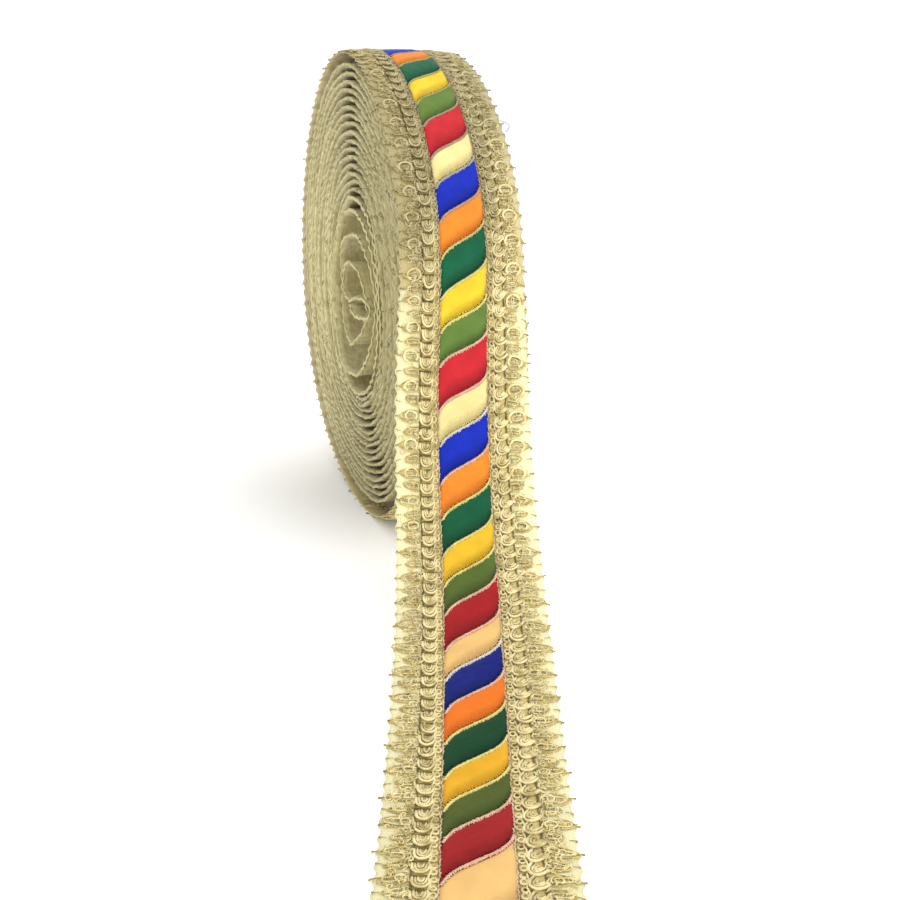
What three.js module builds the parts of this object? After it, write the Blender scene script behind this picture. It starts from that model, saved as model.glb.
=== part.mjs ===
import * as THREE from 'three';

// A roll of pieced lace trim that stands on its edge, with a loose end that slopes down to the floor in front of it.
// Millimetres, +Z up. The roll's axis lies along X, and the loose end runs forward, along -Y, and a little to -X.
// The origin is the middle of the flat spot that the roll rests on.

// Driving sizes

const TRIM = {
  half: 25,          // half the width of the net tape
  bandHalf: 9.2,     // half the width of the satin band
  braidInner: 9.7,   // where each braid starts, from the middle
  braidOuter: 15.9,  // where each braid ends
  tuftRoot: 16.5,    // where each row of tufts starts
  tuftTip: 25.9,     // how far a large tuft reaches
};

const RISE = {
  slit: 0.3,         // clearance between two pieces that touch
  tape: 1.2,         // thickness of the net tape
  band: 1.3,         // how high the satin is padded
  seam: 0.6,         // height of the satin at a seam
  braid: 1.9,        // height of a braid
  tuft: 0.9,         // thickness of a tuft at its root
  tip: 0.5,          // thickness of the satin at its edge, and of a tuft at its tip
};

const ROLL = {
  radius: 105.6,
  centreY: 17,       // the roll's centre lies behind the middle of its flat spot
  centreZ: 98.7,
  step: 4,           // thickness of the last turn, where the loose end leaves
  eyeY: -5,          // the open centre is off the middle
  eyeZ: -3.7,
  eyeDepth: 13,
  uneven: 0.012,     // how far the inner turns wander from the spiral, as a share of their radius
  ridge: 3.4,        // how deep the grooves between the turns are
  dip: 1.1,          // how far the edges of the inner turns wander inwards
  settle: 0.2,       // the share of the last turn over which it climbs onto the one below
};

// The roll's outline sags out of round: the share of the radius that each wave adds
const SAG = { squash: -0.0406, lean: -0.0572, belly: 0.0298 };

// The two loose turns round the open centre: their radius at each angle from the inner end, in degrees
const INNER = [
  { angle: 0, radius: 27 },
  { angle: 31, radius: 20 },
  { angle: 66, radius: 15.5 },
  { angle: 105, radius: 13.6 },
  { angle: 144, radius: 17.5 },
  { angle: 179, radius: 19 },
  { angle: 263, radius: 22.6 },
  { angle: 314, radius: 29 },
  { angle: 375, radius: 32.5 },
  { angle: 409, radius: 29.5 },
  { angle: 465, radius: 32 },
  { angle: 505, radius: 36 },
  { angle: 600, radius: 35.5 },
  { angle: 690, radius: 44 },
  { angle: 742, radius: 47 },
  { angle: 785, radius: 40.5 },
  { angle: 868, radius: 42.7 },
  { angle: 990, radius: 45 },
];

const LOOSE = {
  depart: THREE.MathUtils.degToRad(82), // angle from the top, forward, where the loose end leaves the roll
  length: 300,
  sideways: -5.0,                       // how far the last turn has crept to the left where it leaves
  creepFrom: THREE.MathUtils.degToRad(35),
  turnIn: 12,                           // length over which it leaves the roll's own direction
  curl: 0.5,                            // how far its edges wander up and down where it hangs free
  curlFrom: 40,                         // length from the roll to where the edges wander fully
  curlTo: 210,                          // where it comes to lie, and the edges are flat again
  curlFade: 60,
};

// The net's edges are scalloped with picots
const PICOT = { onRoll: 0.7, out: 0.5, back: -0.3 };

// The loose end's slope below level, its heading to the left and its slant within its own face, in degrees, at each
// distance along it
const BENDS = [
  { along: 0, slope: 69.8, left: 0, slant: 6.9 },
  { along: 12, slope: 65.8, left: 2.8, slant: 5.6 },
  { along: 28, slope: 61, left: 10.4, slant: 4.1 },
  { along: 50, slope: 54.6, left: 11.7, slant: 2.4 },
  { along: 75, slope: 45.4, left: 12.5, slant: 1.6 },
  { along: 100, slope: 32.8, left: 14, slant: 1 },
  { along: 125, slope: 22.5, left: 15.3, slant: 0.7 },
  { along: 150, slope: 16.7, left: 16.5, slant: 0.6 },
  { along: 175, slope: 11.1, left: 17.4, slant: 0.5 },
  { along: 200, slope: 7.6, left: 17.8, slant: 0.4 },
  { along: 225, slope: 3.4, left: 18.1, slant: 0.3 },
  { along: 245, slope: 0, left: 18.3, slant: 0.2 },
  { along: 300, slope: 0, left: 19.8, slant: 0 },
];

// The seven patches that repeat, from the top of the roll to the cut end, and each one's share of the mean length
const PATCH = { mean: 14.97, first: 22, slant: 0.7, swing: 1.1, fade: 16, shoulder: 0.28, endGap: 3 };
const PATCHES = [
  { colour: 'green', share: 1.07 },
  { colour: 'yellow', share: 0.93 },
  { colour: 'olive', share: 0.9 },
  { colour: 'red', share: 1.15 },
  { colour: 'cream', share: 0.94 },
  { colour: 'blue', share: 1.03 },
  { colour: 'orange', share: 0.98 },
];

const BAND_CREST = 5.5;  // the satin is padded this far on both sides of its middle
const LOOP_PITCH = 5.6;  // one loop of a braid
const TUFT_PITCH = 11.5; // one large tuft and one small one

const FACE_STEPS = 45;     // steps round one turn on the roll's sides
const FACE_COUNT = 424;    // steps from the inner end to the last turn, which stand for nine and a half turns
const RIM_SPLIT = 3;       // steps on the rim for each step on the sides
const RIM_STEPS = FACE_STEPS * RIM_SPLIT;
const TURNS = FACE_COUNT / FACE_STEPS + 1;
const FULL_TURN = 2 * Math.PI;

// Small helpers

function ease(t) {
  const clamped = THREE.MathUtils.clamp(t, 0, 1);
  return clamped * clamped * (3 - 2 * clamped);
}

function lookUp(rows, along, key) {
  const last = rows[rows.length - 1];
  if (along >= last.along) return last[key];
  const next = rows.findIndex((row) => row.along > along);
  const from = rows[next - 1];
  const share = (along - from.along) / (rows[next].along - from.along);
  return THREE.MathUtils.lerp(from[key], rows[next][key], share);
}

// A slow, even unevenness between -1 and 1, so that no two turns or edges are alike
function wander(a, b) {
  return (Math.sin(a * 1.7 + b * 2.3) + Math.sin(a * 3.1 - b * 1.3 + 1.1) + Math.sin(a * 5.3 + b * 4.1 + 2.7)) / 3;
}

// A closed mesh from a list of points and a list of triangles, turned so that its faces point out
function closedMesh(points, triangles) {
  const corners = points.map((p) => new THREE.Vector3(...p));
  let volume = 0;
  for (const [a, b, c] of triangles) {
    volume += corners[a].dot(new THREE.Vector3().crossVectors(corners[b], corners[c]));
  }
  const index = triangles.flatMap(([a, b, c]) => (volume > 0 ? [a, b, c] : [a, c, b]));
  const geometry = new THREE.BufferGeometry();
  geometry.setAttribute('position', new THREE.Float32BufferAttribute(points.flat(), 3));
  geometry.setIndex(index);
  geometry.computeVertexNormals();
  return geometry;
}

// A solid that joins sections, each an upper and a lower row of as many points, with a cap at each end
function loft(sections) {
  const columns = sections[0].upper.length;
  const size = 2 * columns;
  const triangles = [];
  const quad = (a, b, c, d) => triangles.push([a, b, c], [a, c, d]);
  for (let i = 0; i < sections.length - 1; i += 1) {
    for (let k = 0; k < size; k += 1) {
      const here = i * size + k;
      const beside = i * size + ((k + 1) % size);
      quad(here, beside, beside + size, here + size);
    }
  }
  const last = (sections.length - 1) * size;
  for (let k = 0; k < columns - 1; k += 1) {
    const below = size - 1 - k;
    quad(k, below, below - 1, k + 1);
    quad(last + k, last + k + 1, last + below - 1, last + below);
  }
  const points = sections.flatMap(({ upper, lower }) => [...upper, ...lower.toReversed()]);
  return closedMesh(points, triangles);
}

// The roll's outline: distance from its centre at an angle from the top, forward
function outline(angle) {
  const { squash, lean, belly } = SAG;
  return 1 + squash * Math.cos(2 * angle) + lean * Math.sin(2 * angle) + belly * Math.cos(3 * angle);
}

function turnAngle(turn) {
  return LOOSE.depart + FULL_TURN * (turn - TURNS);
}

const innerRadius = new THREE.CubicInterpolant(
  INNER.map((row) => row.angle / 360),
  INNER.map((row) => row.radius),
  1,
  new Float32Array(1),
);
const LOOSE_TURNS = INNER[INNER.length - 1].angle / 360;

// How far a turn lies from the loose centre, 0, to the last turn, 1
function outwards(turn) {
  return THREE.MathUtils.clamp((turn - LOOSE_TURNS) / (TURNS - 1 - LOOSE_TURNS), 0, 1);
}

// Radius of the wound spiral after a number of turns, before the outline's sag
function spiralRadius(turn) {
  if (turn < LOOSE_TURNS) return innerRadius.evaluate(turn)[0];
  const wound = THREE.MathUtils.lerp(INNER[INNER.length - 1].radius, ROLL.radius - ROLL.step, outwards(turn));
  return wound + ROLL.step * ease((turn - (TURNS - 1)) / ROLL.settle);
}

// A point of the spiral, lifted off it by a given height, as [y, z]
function spiralPoint(turn, lift) {
  const angle = turnAngle(turn);
  const share = outwards(turn);
  const sag = THREE.MathUtils.lerp(1, outline(angle), Math.sqrt(share));
  const uneven = 1 + ROLL.uneven * wander(turn * 2.1, angle) * (1 - share);
  const reach = spiralRadius(turn) * sag * uneven + lift;
  const y = ROLL.centreY + ROLL.eyeY * (1 - share) - reach * Math.sin(angle);
  const z = ROLL.centreZ + ROLL.eyeZ * (1 - share) + reach * Math.cos(angle);
  return [y, Math.max(z, 0)];
}

// How far the last turn has crept sideways
function creep(turn) {
  const share = (turnAngle(turn) - LOOSE.creepFrom) / (LOOSE.depart - LOOSE.creepFrom);
  return LOOSE.sideways * Math.max(share, 0) ** 2;
}

// Where a seam lies at a distance across the band: an S that slants up to the right
function seamShift(across) {
  const share = across / TRIM.bandHalf;
  return -PATCH.slant * across - PATCH.swing * Math.sin(Math.PI * share);
}

// The rows of the last turn's outer face, from left to right, with the height of each between and at the seams
const RIM_ROWS = [
  { across: -20.5, high: RISE.slit + RISE.tuft, low: RISE.slit + 0.3 },
  { across: -16.2, high: RISE.slit, low: RISE.slit },
  { across: -12.8, high: RISE.slit + RISE.braid, low: RISE.slit + RISE.braid },
  { across: -9.4, high: RISE.slit, low: RISE.slit, satin: true },
  { across: -BAND_CREST, high: RISE.slit + RISE.band, low: RISE.slit + RISE.seam, satin: true },
  { across: BAND_CREST, high: RISE.slit + RISE.band, low: RISE.slit + RISE.seam, satin: true },
  { across: 9.4, high: RISE.slit, low: RISE.slit, satin: true },
  { across: 12.8, high: RISE.slit + RISE.braid, low: RISE.slit + RISE.braid },
  { across: 16.2, high: RISE.slit, low: RISE.slit },
  { across: 20.5, high: RISE.slit + RISE.tuft, low: RISE.slit + 0.3 },
];

function woundRoll() {
  const points = [];
  const triangles = [];
  const add = (x, [y, z]) => points.push([x, y, z]) - 1;
  const quad = (a, b, c, d) => triangles.push([a, b, c], [a, c, d]);
  const last = TURNS - 1;
  const turnLength = FULL_TURN * ROLL.radius;

  // One side of the roll: a spiral crest and the groove beside it, round an open centre
  function side(sign) {
    const crest = [];
    const groove = [];
    for (let i = 0; i < FACE_COUNT; i += 1) {
      const turn = i / FACE_STEPS;
      const dip = ROLL.dip * (1 + wander(turn * 2.7, turnAngle(turn))) * (1 - turn / TURNS);
      crest.push(add(sign * (TRIM.half - dip), spiralPoint(turn, 0)));
    }
    for (let i = 0; i <= FACE_COUNT; i += 1) {
      const turn = i / FACE_STEPS;
      const [y0, z0] = spiralPoint(turn, 0);
      const [y1, z1] = spiralPoint(turn + 1, 0);
      const depth = ROLL.ridge * (0.75 + 0.25 * wander(turn * 3.3 + sign, turn));
      groove.push(add(sign * (TRIM.half - 1 - depth) + creep(turn + 1) / 2, [(y0 + y1) / 2, (z0 + z1) / 2]));
    }
    const rim = [];
    for (let k = 0; k <= RIM_STEPS; k += 1) {
      const turn = last + k / RIM_STEPS;
      const scallop = k % 2 === 0 ? PICOT.onRoll : 0;
      rim.push(add(sign * (TRIM.half + scallop) + creep(turn), spiralPoint(turn, 0)));
    }
    const crestAt = (i) => (i < crest.length ? crest[i] : rim[(i - crest.length) * RIM_SPLIT]);
    for (let i = 0; i < FACE_COUNT; i += 1) {
      const start = [crest[i], groove[i], groove[i + 1], crestAt(i + 1)];
      quad(...(sign > 0 ? start.reverse() : start));
      const outer = i + FACE_STEPS;
      const fan = [groove[i + 1]];
      if (outer < crest.length) {
        fan.push(crestAt(outer + 1), crestAt(outer));
      } else {
        const from = (outer - crest.length) * RIM_SPLIT;
        for (let k = RIM_SPLIT; k >= 0; k -= 1) fan.push(rim[from + k]);
      }
      fan.push(groove[i]);
      for (let k = 1; k < fan.length - 1; k += 1) {
        triangles.push(sign > 0 ? [fan[0], fan[k], fan[k + 1]] : [fan[0], fan[k + 1], fan[k]]);
      }
    }
    // The open centre: its wall and its floor
    const mouth = Array.from({ length: FACE_STEPS + 1 }, (_, i) => crestAt(i)).concat([groove[0]]);
    const floorX = sign * (TRIM.half - ROLL.eyeDepth);
    const floor = mouth.map((corner) => add(floorX, points[corner].slice(1)));
    const middle = add(floorX, [ROLL.centreY + ROLL.eyeY, ROLL.centreZ + ROLL.eyeZ + 4]);
    mouth.forEach((corner, i) => {
      const next = (i + 1) % mouth.length;
      const wall = [corner, floor[i], floor[next], mouth[next]];
      quad(...(sign > 0 ? wall : wall.reverse()));
      triangles.push(sign > 0 ? [floor[i], middle, floor[next]] : [floor[i], floor[next], middle]);
    });
    return [...rim, groove[FACE_COUNT]];
  }

  // One row of the last turn's outer face, closed over the step where the loose end leaves
  function row({ across, high, low, satin }) {
    const line = [];
    for (let k = 0; k <= RIM_STEPS; k += 1) {
      const fromEnd = Math.min(k, RIM_STEPS - k) * (turnLength / RIM_STEPS);
      const shear = satin ? seamShift(across) * ease(fromEnd / PATCH.fade) : 0;
      const turn = last + k / RIM_STEPS + shear / turnLength;
      const isSeam = satin ? k % RIM_SPLIT === 0 : k % 2 === 1;
      line.push(add(across + creep(turn), spiralPoint(turn, isSeam ? low : high)));
    }
    const [y0, z0] = points[line[0]].slice(1);
    const [y1, z1] = points[line[RIM_STEPS]].slice(1);
    line.push(add(across + creep(TURNS), [(y0 + y1) / 2, (z0 + z1) / 2]));
    return line;
  }

  const rows = [side(-1), ...RIM_ROWS.map(row), side(1)];
  for (let r = 0; r < rows.length - 1; r += 1) {
    rows[r].forEach((corner, k) => {
      const next = (k + 1) % rows[r].length;
      quad(corner, rows[r + 1][k], rows[r + 1][next], rows[r][next]);
    });
  }
  return closedMesh(points, triangles);
}

// The loose end's path: its middle line, the direction across it and the one away from the floor, step by step

const PATH_STEP = 0.5;

function tracePath(slopeShare) {
  const radians = THREE.MathUtils.degToRad;
  const [y, z] = spiralPoint(TURNS, 0);
  const point = new THREE.Vector3(LOOSE.sideways, y, z);
  const path = [];
  for (let along = 0; along <= LOOSE.length + PATH_STEP; along += PATH_STEP) {
    const slope = radians(lookUp(BENDS, along, 'slope')) * slopeShare;
    const left = radians(lookUp(BENDS, along, 'left'));
    const slant = radians(lookUp(BENDS, along, 'slant'));
    const level = new THREE.Vector3(Math.cos(left), -Math.sin(left), 0);
    const down = new THREE.Vector3(-Math.sin(left), -Math.cos(left), 0)
      .multiplyScalar(Math.cos(slope)).setZ(-Math.sin(slope));
    const away = new THREE.Vector3().crossVectors(down, level);
    const ahead = down.clone().applyAxisAngle(away, -slant);
    const across = level.clone().applyAxisAngle(away, -slant);
    path.push({ point: point.clone(), across, away });
    point.addScaledVector(ahead, PATH_STEP);
  }
  return path;
}

// The slopes are all eased by one share, so that the cut end lies flat on the floor
function findPath() {
  let low = 0.7;
  let high = 1.3;
  for (let i = 0; i < 40; i += 1) {
    const share = (low + high) / 2;
    const path = tracePath(share);
    if (path[path.length - 1].point.z > RISE.tape) low = share;
    else high = share;
  }
  return tracePath(low);
}

const PATH = findPath();

// A point of the loose end, at a distance along it, across it and above the tape's upper face
function onPath(along, across, up) {
  const at = THREE.MathUtils.clamp(along, 0, LOOSE.length) / PATH_STEP;
  const from = PATH[Math.floor(at)];
  const to = PATH[Math.floor(at) + 1];
  const share = at - Math.floor(at);
  const blend = (key) => from[key].clone().lerp(to[key], share);
  const turnIn = ease(1 - along / LOOSE.turnIn);
  const left = blend('across').lerp(new THREE.Vector3(1, 0, 0), turnIn).normalize();
  return blend('point').addScaledVector(left, across).addScaledVector(blend('away'), up).toArray();
}

// A strip along the loose end. Its section is a function of the distance along it: an upper and a lower row of
// places, each [across, up] with a shift along the strip where there is one
function strip(stations, sectionAt) {
  return loft(stations.map((along, i) => {
    const fade = ease(Math.min(along, LOOSE.length - along) / PATCH.fade);
    const place = ([across, up, shift = 0]) => onPath(along + shift * fade, across, up);
    const { upper, lower } = sectionAt(along, i);
    return { upper: upper.map(place), lower: lower.map(place) };
  }));
}

function evenStations(pitch) {
  const count = Math.round((LOOSE.length - RISE.slit) / pitch);
  return Array.from({ length: count + 1 }, (_, i) => RISE.slit + (i / count) * (LOOSE.length - RISE.slit));
}

function looseTape() {
  const stations = evenStations(TUFT_PITCH / 2);
  return strip(stations, (along, i) => {
    const edge = TRIM.half + (i % 2 === 0 ? PICOT.out : PICOT.back);
    // The edges lift a little where the tape is off the floor
    const free = LOOSE.curl * ease(along / LOOSE.curlFrom) * ease((LOOSE.curlTo - along) / LOOSE.curlFade);
    const curlLeft = free * wander(along / 30, 1);
    const curlRight = free * wander(along / 30, 4);
    const inner = [-TRIM.tuftRoot, -TRIM.bandHalf, 0, TRIM.bandHalf, TRIM.tuftRoot];
    const upper = [[-edge, curlLeft], ...inner.map((across) => [across, 0]), [edge, curlRight]];
    const lower = upper.map(([across, up]) => [across, up - RISE.tape]);
    return { upper, lower };
  });
}

// The seams of the satin band along the loose end, as distances below zero, with two steps between each pair
function bandStations() {
  const stations = [RISE.slit];
  let seam = PATCH.first - arcToDepart();
  for (let i = 0; seam < LOOSE.length; i += 1) {
    const long = PATCHES[i % PATCHES.length].share * PATCH.mean;
    const shoulder = long * PATCH.shoulder;
    const marks = [[seam, true], [seam + shoulder, false], [seam + long - shoulder, false]];
    for (const [along, isSeam] of marks) {
      const clearOfEnds = along > PATCH.endGap && along < LOOSE.length - PATCH.endGap;
      if (clearOfEnds) stations.push(isSeam ? -along : along);
    }
    seam += long;
  }
  stations.push(LOOSE.length);
  return stations;
}

// Length of the last turn from the top of the roll to where the loose end leaves it
function arcToDepart() {
  const steps = 200;
  const topTurn = TURNS - LOOSE.depart / FULL_TURN;
  let length = 0;
  for (let i = 0; i < steps; i += 1) {
    const [y0, z0] = spiralPoint(THREE.MathUtils.lerp(topTurn, TURNS, i / steps), 0);
    const [y1, z1] = spiralPoint(THREE.MathUtils.lerp(topTurn, TURNS, (i + 1) / steps), 0);
    length += Math.hypot(y1 - y0, z1 - z0);
  }
  return length;
}

function loosePatchBand() {
  const marks = bandStations();
  const stations = marks.map(Math.abs);
  return strip(stations, (along, i) => {
    const crown = marks[i] < 0 ? RISE.seam : RISE.band;
    const heights = [RISE.tip, crown, crown, RISE.tip];
    const columns = [-TRIM.bandHalf, -BAND_CREST, BAND_CREST, TRIM.bandHalf];
    return {
      upper: columns.map((across, k) => [across, RISE.slit + heights[k], seamShift(across)]),
      lower: columns.map((across) => [across, RISE.slit, seamShift(across)]),
    };
  });
}

function looseBraid(sign) {
  const middle = (TRIM.braidInner + TRIM.braidOuter) / 2;
  const half = (TRIM.braidOuter - TRIM.braidInner) / 2;
  return strip(evenStations(LOOP_PITCH / 2), (along, i) => {
    const full = i % 2 === 1 ? 1 : 0.62;
    const foot = half * (i % 2 === 1 ? 1 : 0.86);
    const crest = RISE.slit + RISE.braid * full;
    return {
      upper: [[sign * (middle - half * 0.5), crest], [sign * (middle + half * 0.5), crest]],
      lower: [[sign * (middle - foot), RISE.slit], [sign * (middle + foot), RISE.slit]],
    };
  });
}

function looseTufts(sign) {
  // Along the row: a gap, a large tuft, a gap and a small tuft, over and over
  const large = TRIM.tuftTip - TRIM.tuftRoot;
  const reach = [large * 0.23, large, large * 0.23, large * 0.72];
  return strip(evenStations(TUFT_PITCH / reach.length), (along, i) => {
    const out = TRIM.tuftRoot + reach[i % reach.length];
    const clearOfCurl = RISE.slit + LOOSE.curl * 1.1 * ease((out - TRIM.tuftRoot) / large);
    return {
      upper: [[sign * TRIM.tuftRoot, RISE.slit + RISE.tuft], [sign * out, clearOfCurl + RISE.tip]],
      lower: [[sign * TRIM.tuftRoot, RISE.slit], [sign * out, clearOfCurl]],
    };
  });
}

// Materials

const NET = new THREE.MeshStandardMaterial({ color: 0xe9e2bf, roughness: 0.85, metalness: 0 });
const WOUND = new THREE.MeshStandardMaterial({ color: 0xb7a983, roughness: 0.9, metalness: 0 });
const SATIN = new THREE.MeshStandardMaterial({ color: 0xd0553a, roughness: 0.35, metalness: 0 });
const BRAID = new THREE.MeshStandardMaterial({ color: 0xd3c08c, roughness: 0.6, metalness: 0.1 });
const TUFT = new THREE.MeshStandardMaterial({ color: 0xbfa872, roughness: 0.7, metalness: 0.05 });

const trim = new THREE.Group();

function place(name, geometry, material) {
  const mesh = new THREE.Mesh(geometry, material);
  mesh.name = name;
  trim.add(mesh);
}

place('wound_roll', woundRoll(), WOUND);
place('loose_tape', looseTape(), NET);
place('loose_patch_band', loosePatchBand(), SATIN);
for (const [name, sign] of [['left', -1], ['right', 1]]) {
  place(`loose_braid_${name}`, looseBraid(sign), BRAID);
  place(`loose_tufts_${name}`, looseTufts(sign), TUFT);
}

export default trim;
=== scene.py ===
# A roll of pieced lace trim that stands on its edge. Its loose end slopes down to the floor before it.
# +Z up. The roll's axis lies along X, and the loose end runs forward, along -Y, and a little to -X.

import math
from functools import cache

import bpy
import numpy as np
from bpy.props import FloatProperty, FloatVectorProperty, IntProperty, PointerProperty
from mathutils import Matrix, Vector


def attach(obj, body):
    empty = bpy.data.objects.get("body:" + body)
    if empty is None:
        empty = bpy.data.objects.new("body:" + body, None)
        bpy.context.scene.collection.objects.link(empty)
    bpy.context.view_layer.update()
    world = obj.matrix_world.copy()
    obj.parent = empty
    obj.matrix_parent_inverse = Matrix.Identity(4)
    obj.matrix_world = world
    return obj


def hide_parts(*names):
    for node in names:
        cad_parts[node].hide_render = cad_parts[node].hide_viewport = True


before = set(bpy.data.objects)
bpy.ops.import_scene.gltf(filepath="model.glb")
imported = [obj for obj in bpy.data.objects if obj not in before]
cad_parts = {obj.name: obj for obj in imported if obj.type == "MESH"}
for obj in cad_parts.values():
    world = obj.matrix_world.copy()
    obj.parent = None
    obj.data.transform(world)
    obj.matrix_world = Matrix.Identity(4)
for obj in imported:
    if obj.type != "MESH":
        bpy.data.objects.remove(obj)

bl_info = {
    "name": "Roll of Lace Trim",
    "version": (1, 0, 0),
    "blender": (4, 5, 0),
    "location": "3D View > Sidebar > Lace Trim",
    "description": "Models a roll of pieced lace trim: wound turns, net, satin patches, braids and tufts",
    "category": "Add Mesh",
}

MM = 0.001
ONE_TURN = 2 * math.pi
SIDES = (("left", -1), ("right", 1))

# Sizes and colours that a user would change


def linear(red, green, blue):
    """A colour of 0 to 255 as the eye reads it, in the linear numbers that a shader takes."""
    seen = np.array([red, green, blue]) / 255
    bright = ((seen + 0.055) / 1.055) ** 2.4
    return tuple(float(x) for x in np.where(seen <= 0.04045, seen / 12.92, bright))


def length(name, description, default):
    return FloatProperty(
        name=name, description=description, default=default, min=0, unit="LENGTH", precision=5
    )


def colour(name, description, *seen):
    return FloatVectorProperty(
        name=name, description=description, default=linear(*seen), subtype="COLOR", min=0, max=1
    )


class TrimSizes(bpy.types.PropertyGroup):
    half_width: length("Half width", "From the middle of the trim to the edge of its net", 0.025)
    satin_half: length("Satin half width", "From the middle to the edge of the satin band", 0.0092)
    braid_inner: length("Braid inner edge", "From the middle to where a braid starts", 0.0097)
    braid_outer: length("Braid outer edge", "From the middle to where a braid ends", 0.0159)
    tuft_root: length("Tuft root", "From the middle to where a row of tufts starts", 0.0165)
    tuft_tip: length("Tuft tip", "From the middle to the tip of a large tuft", 0.0259)
    patch_length: length("Patch length", "Mean length of a satin patch along the trim", 0.01497)
    satin_rise: length("Satin height", "How high the satin is padded", 0.0014)
    loop_pitch: length("Loop pitch", "Length of one loop of a braid", 0.0056)
    tuft_pitch: length("Tuft pitch", "Length of one large tuft and one small one", 0.0115)
    net_thickness: length("Net thickness", "Thickness of the net", 0.00025)


class RollSizes(bpy.types.PropertyGroup):
    radius: length("Radius", "Mean radius of the last turn", 0.1056)
    step: length("Last step", "How far the last turn lies over the one below", 0.004)
    full_turns: IntProperty(
        name="Full turns", description="Turns from the centre to the last one", default=19, min=6, max=40
    )
    loose_length: length("Loose length", "Length of the loose end", 0.3)


class TrimColours(bpy.types.PropertyGroup):
    net: colour("Net", "The sheer net", 248, 240, 190)
    net_on_roll: colour("Net on the roll", "The net where it lies on the wound turns", 186, 171, 120)
    thread_light: colour("Light thread", "Braids and tufts where they catch the light", 249, 234, 178)
    thread_dark: colour("Dark thread", "Braids and tufts in their hollows", 184, 165, 102)
    groove: colour("Groove cord", "The dark cord beside each braid", 134, 114, 62)
    selvedge: colour("Selvedge", "The pale stitches at the satin's edges", 232, 204, 166)
    stitch_yellow: colour("Yellow stitches", "Stitches above green, yellow and olive", 250, 238, 150)
    stitch_pink: colour("Pink stitches", "Stitches above red, cream and orange", 250, 206, 178)
    stitch_white: colour("White stitches", "Stitches above blue", 240, 232, 218)
    # painted shadow: the colour of the dark thread pieces that stand for the shadow in each seam
    seam_shade: colour("Seam shade", "The dark thread in each seam", 96, 72, 40)
    wound_light: colour("Wound edges", "The edges of the wound turns", 226, 215, 158)
    # painted shade: the dark colour of the turns' undersides, down in the gaps between the wound turns
    wound_gap_shade: colour("Wound gaps", "Between the wound turns", 114, 100, 52)
    green: colour("Green satin", "The green patches", 3, 66, 36)
    yellow: colour("Yellow satin", "The yellow patches", 236, 176, 36)
    olive: colour("Olive satin", "The olive patches", 78, 93, 34)
    red: colour("Red satin", "The red patches", 160, 22, 26)
    cream: colour("Cream satin", "The cream patches", 238, 192, 120)
    blue: colour("Blue satin", "The blue patches", 5, 26, 118)
    orange: colour("Orange satin", "The orange patches", 240, 120, 30)


# The seven patches that repeat, in order along the trim: each one's share of the mean length, and the
# stitches that border its upper end
PATCHES = [
    ("green", 1.07, "yellow"),
    ("yellow", 0.93, "yellow"),
    ("olive", 0.90, "yellow"),
    ("red", 1.15, "pink"),
    ("cream", 0.94, "pink"),
    ("blue", 1.03, "white"),
    ("orange", 0.98, "pink"),
]
FIRST_SEAM = 21.3  # millimetres from the top of the roll to the first seam
LONG_FROM, LONG_SHARE = 245.0, 1.95  # near the free end the patches are longer
SHORTEST = 8.0  # a patch at the cut end that would be shorter joins the one before
SEAM_SLANT, SEAM_CURVE = 5.2, 2.8  # the seams slant up to the right, and more steeply at both ends
SEAM_SPREAD = 0.32  # how much more they slant on the loose end

# Millimetres and degrees of the roll and of the loose end's path
CENTRE_Y, CENTRE_Z = 17.0, 98.7
EYE_Y, EYE_Z = -5.0, -3.7  # the open centre is off the middle
SQUASH, LEAN, BELLY = -0.0406, -0.0572, 0.0298  # how the outline sags out of round
UNEVEN = 0.012  # how uneven the inner turns are, as a share of their radius
DEPART = math.radians(82)  # angle from the top, forward, where the loose end leaves the roll
PART_TURN = 19 / 45  # the inner end starts this share of a turn behind the place of departure
CREEP, CREEP_FROM = -5.0, math.radians(35)  # the last turn drifts this far to the left, from this angle on
SETTLE = 0.2  # share of a turn over which the last turn climbs onto the one below
TURN_STEP = 0.0015  # turns from station to station on the wound route
RUN_ON = 0.08  # turns that the wound strip runs on below the last turn
LAST_TURN, LAST_STATIONS = 1.04, 1500  # how much of the trim's route is wound, in turns and in stations
LOOSE_STEP = 0.5  # from station to station on the loose end
TURN_IN = 24  # stations over which the loose end's face turns away from the roll's
LEAST_SLOPE, MOST_SLOPE, HALVINGS = 0.7, 1.3, 40  # how the share that scales its slopes is searched for
SHORT_START, SHORT_END = 1.0, 0.3  # how far the trim stops short of its route's two ends
FLOOR_GAP = 0.05  # what would sink into the floor lies so high, and by a share of its own height higher
FLATTENED = 0.1  # that share

# The loose turns round the open centre: their radius at each angle from the inner end
INNER = [
    (0, 27), (31, 20), (66, 15.5), (105, 13.6), (144, 17.5), (179, 19), (263, 22.6), (314, 29),
    (375, 32.5), (409, 29.5), (465, 32), (505, 36), (600, 35.5), (690, 44), (742, 47), (785, 40.5),
    (868, 42.7), (990, 45),
]
LOOSE_TURNS = INNER[-1][0] / 360

# The innermost end crosses the open centre and curls up: its places in the roll's side view, as (y, z)
INNER_END = [
    (13, 93.4), (9, 90.6), (2, 89.2), (-6, 88.8), (-13, 90.4), (-14.5, 92.6), (-10, 94.6), (-2, 95.6),
    (7, 95.2), (15, 93.6), (23, 92.2), (31, 92.6), (36.6, 97),
]

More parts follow.
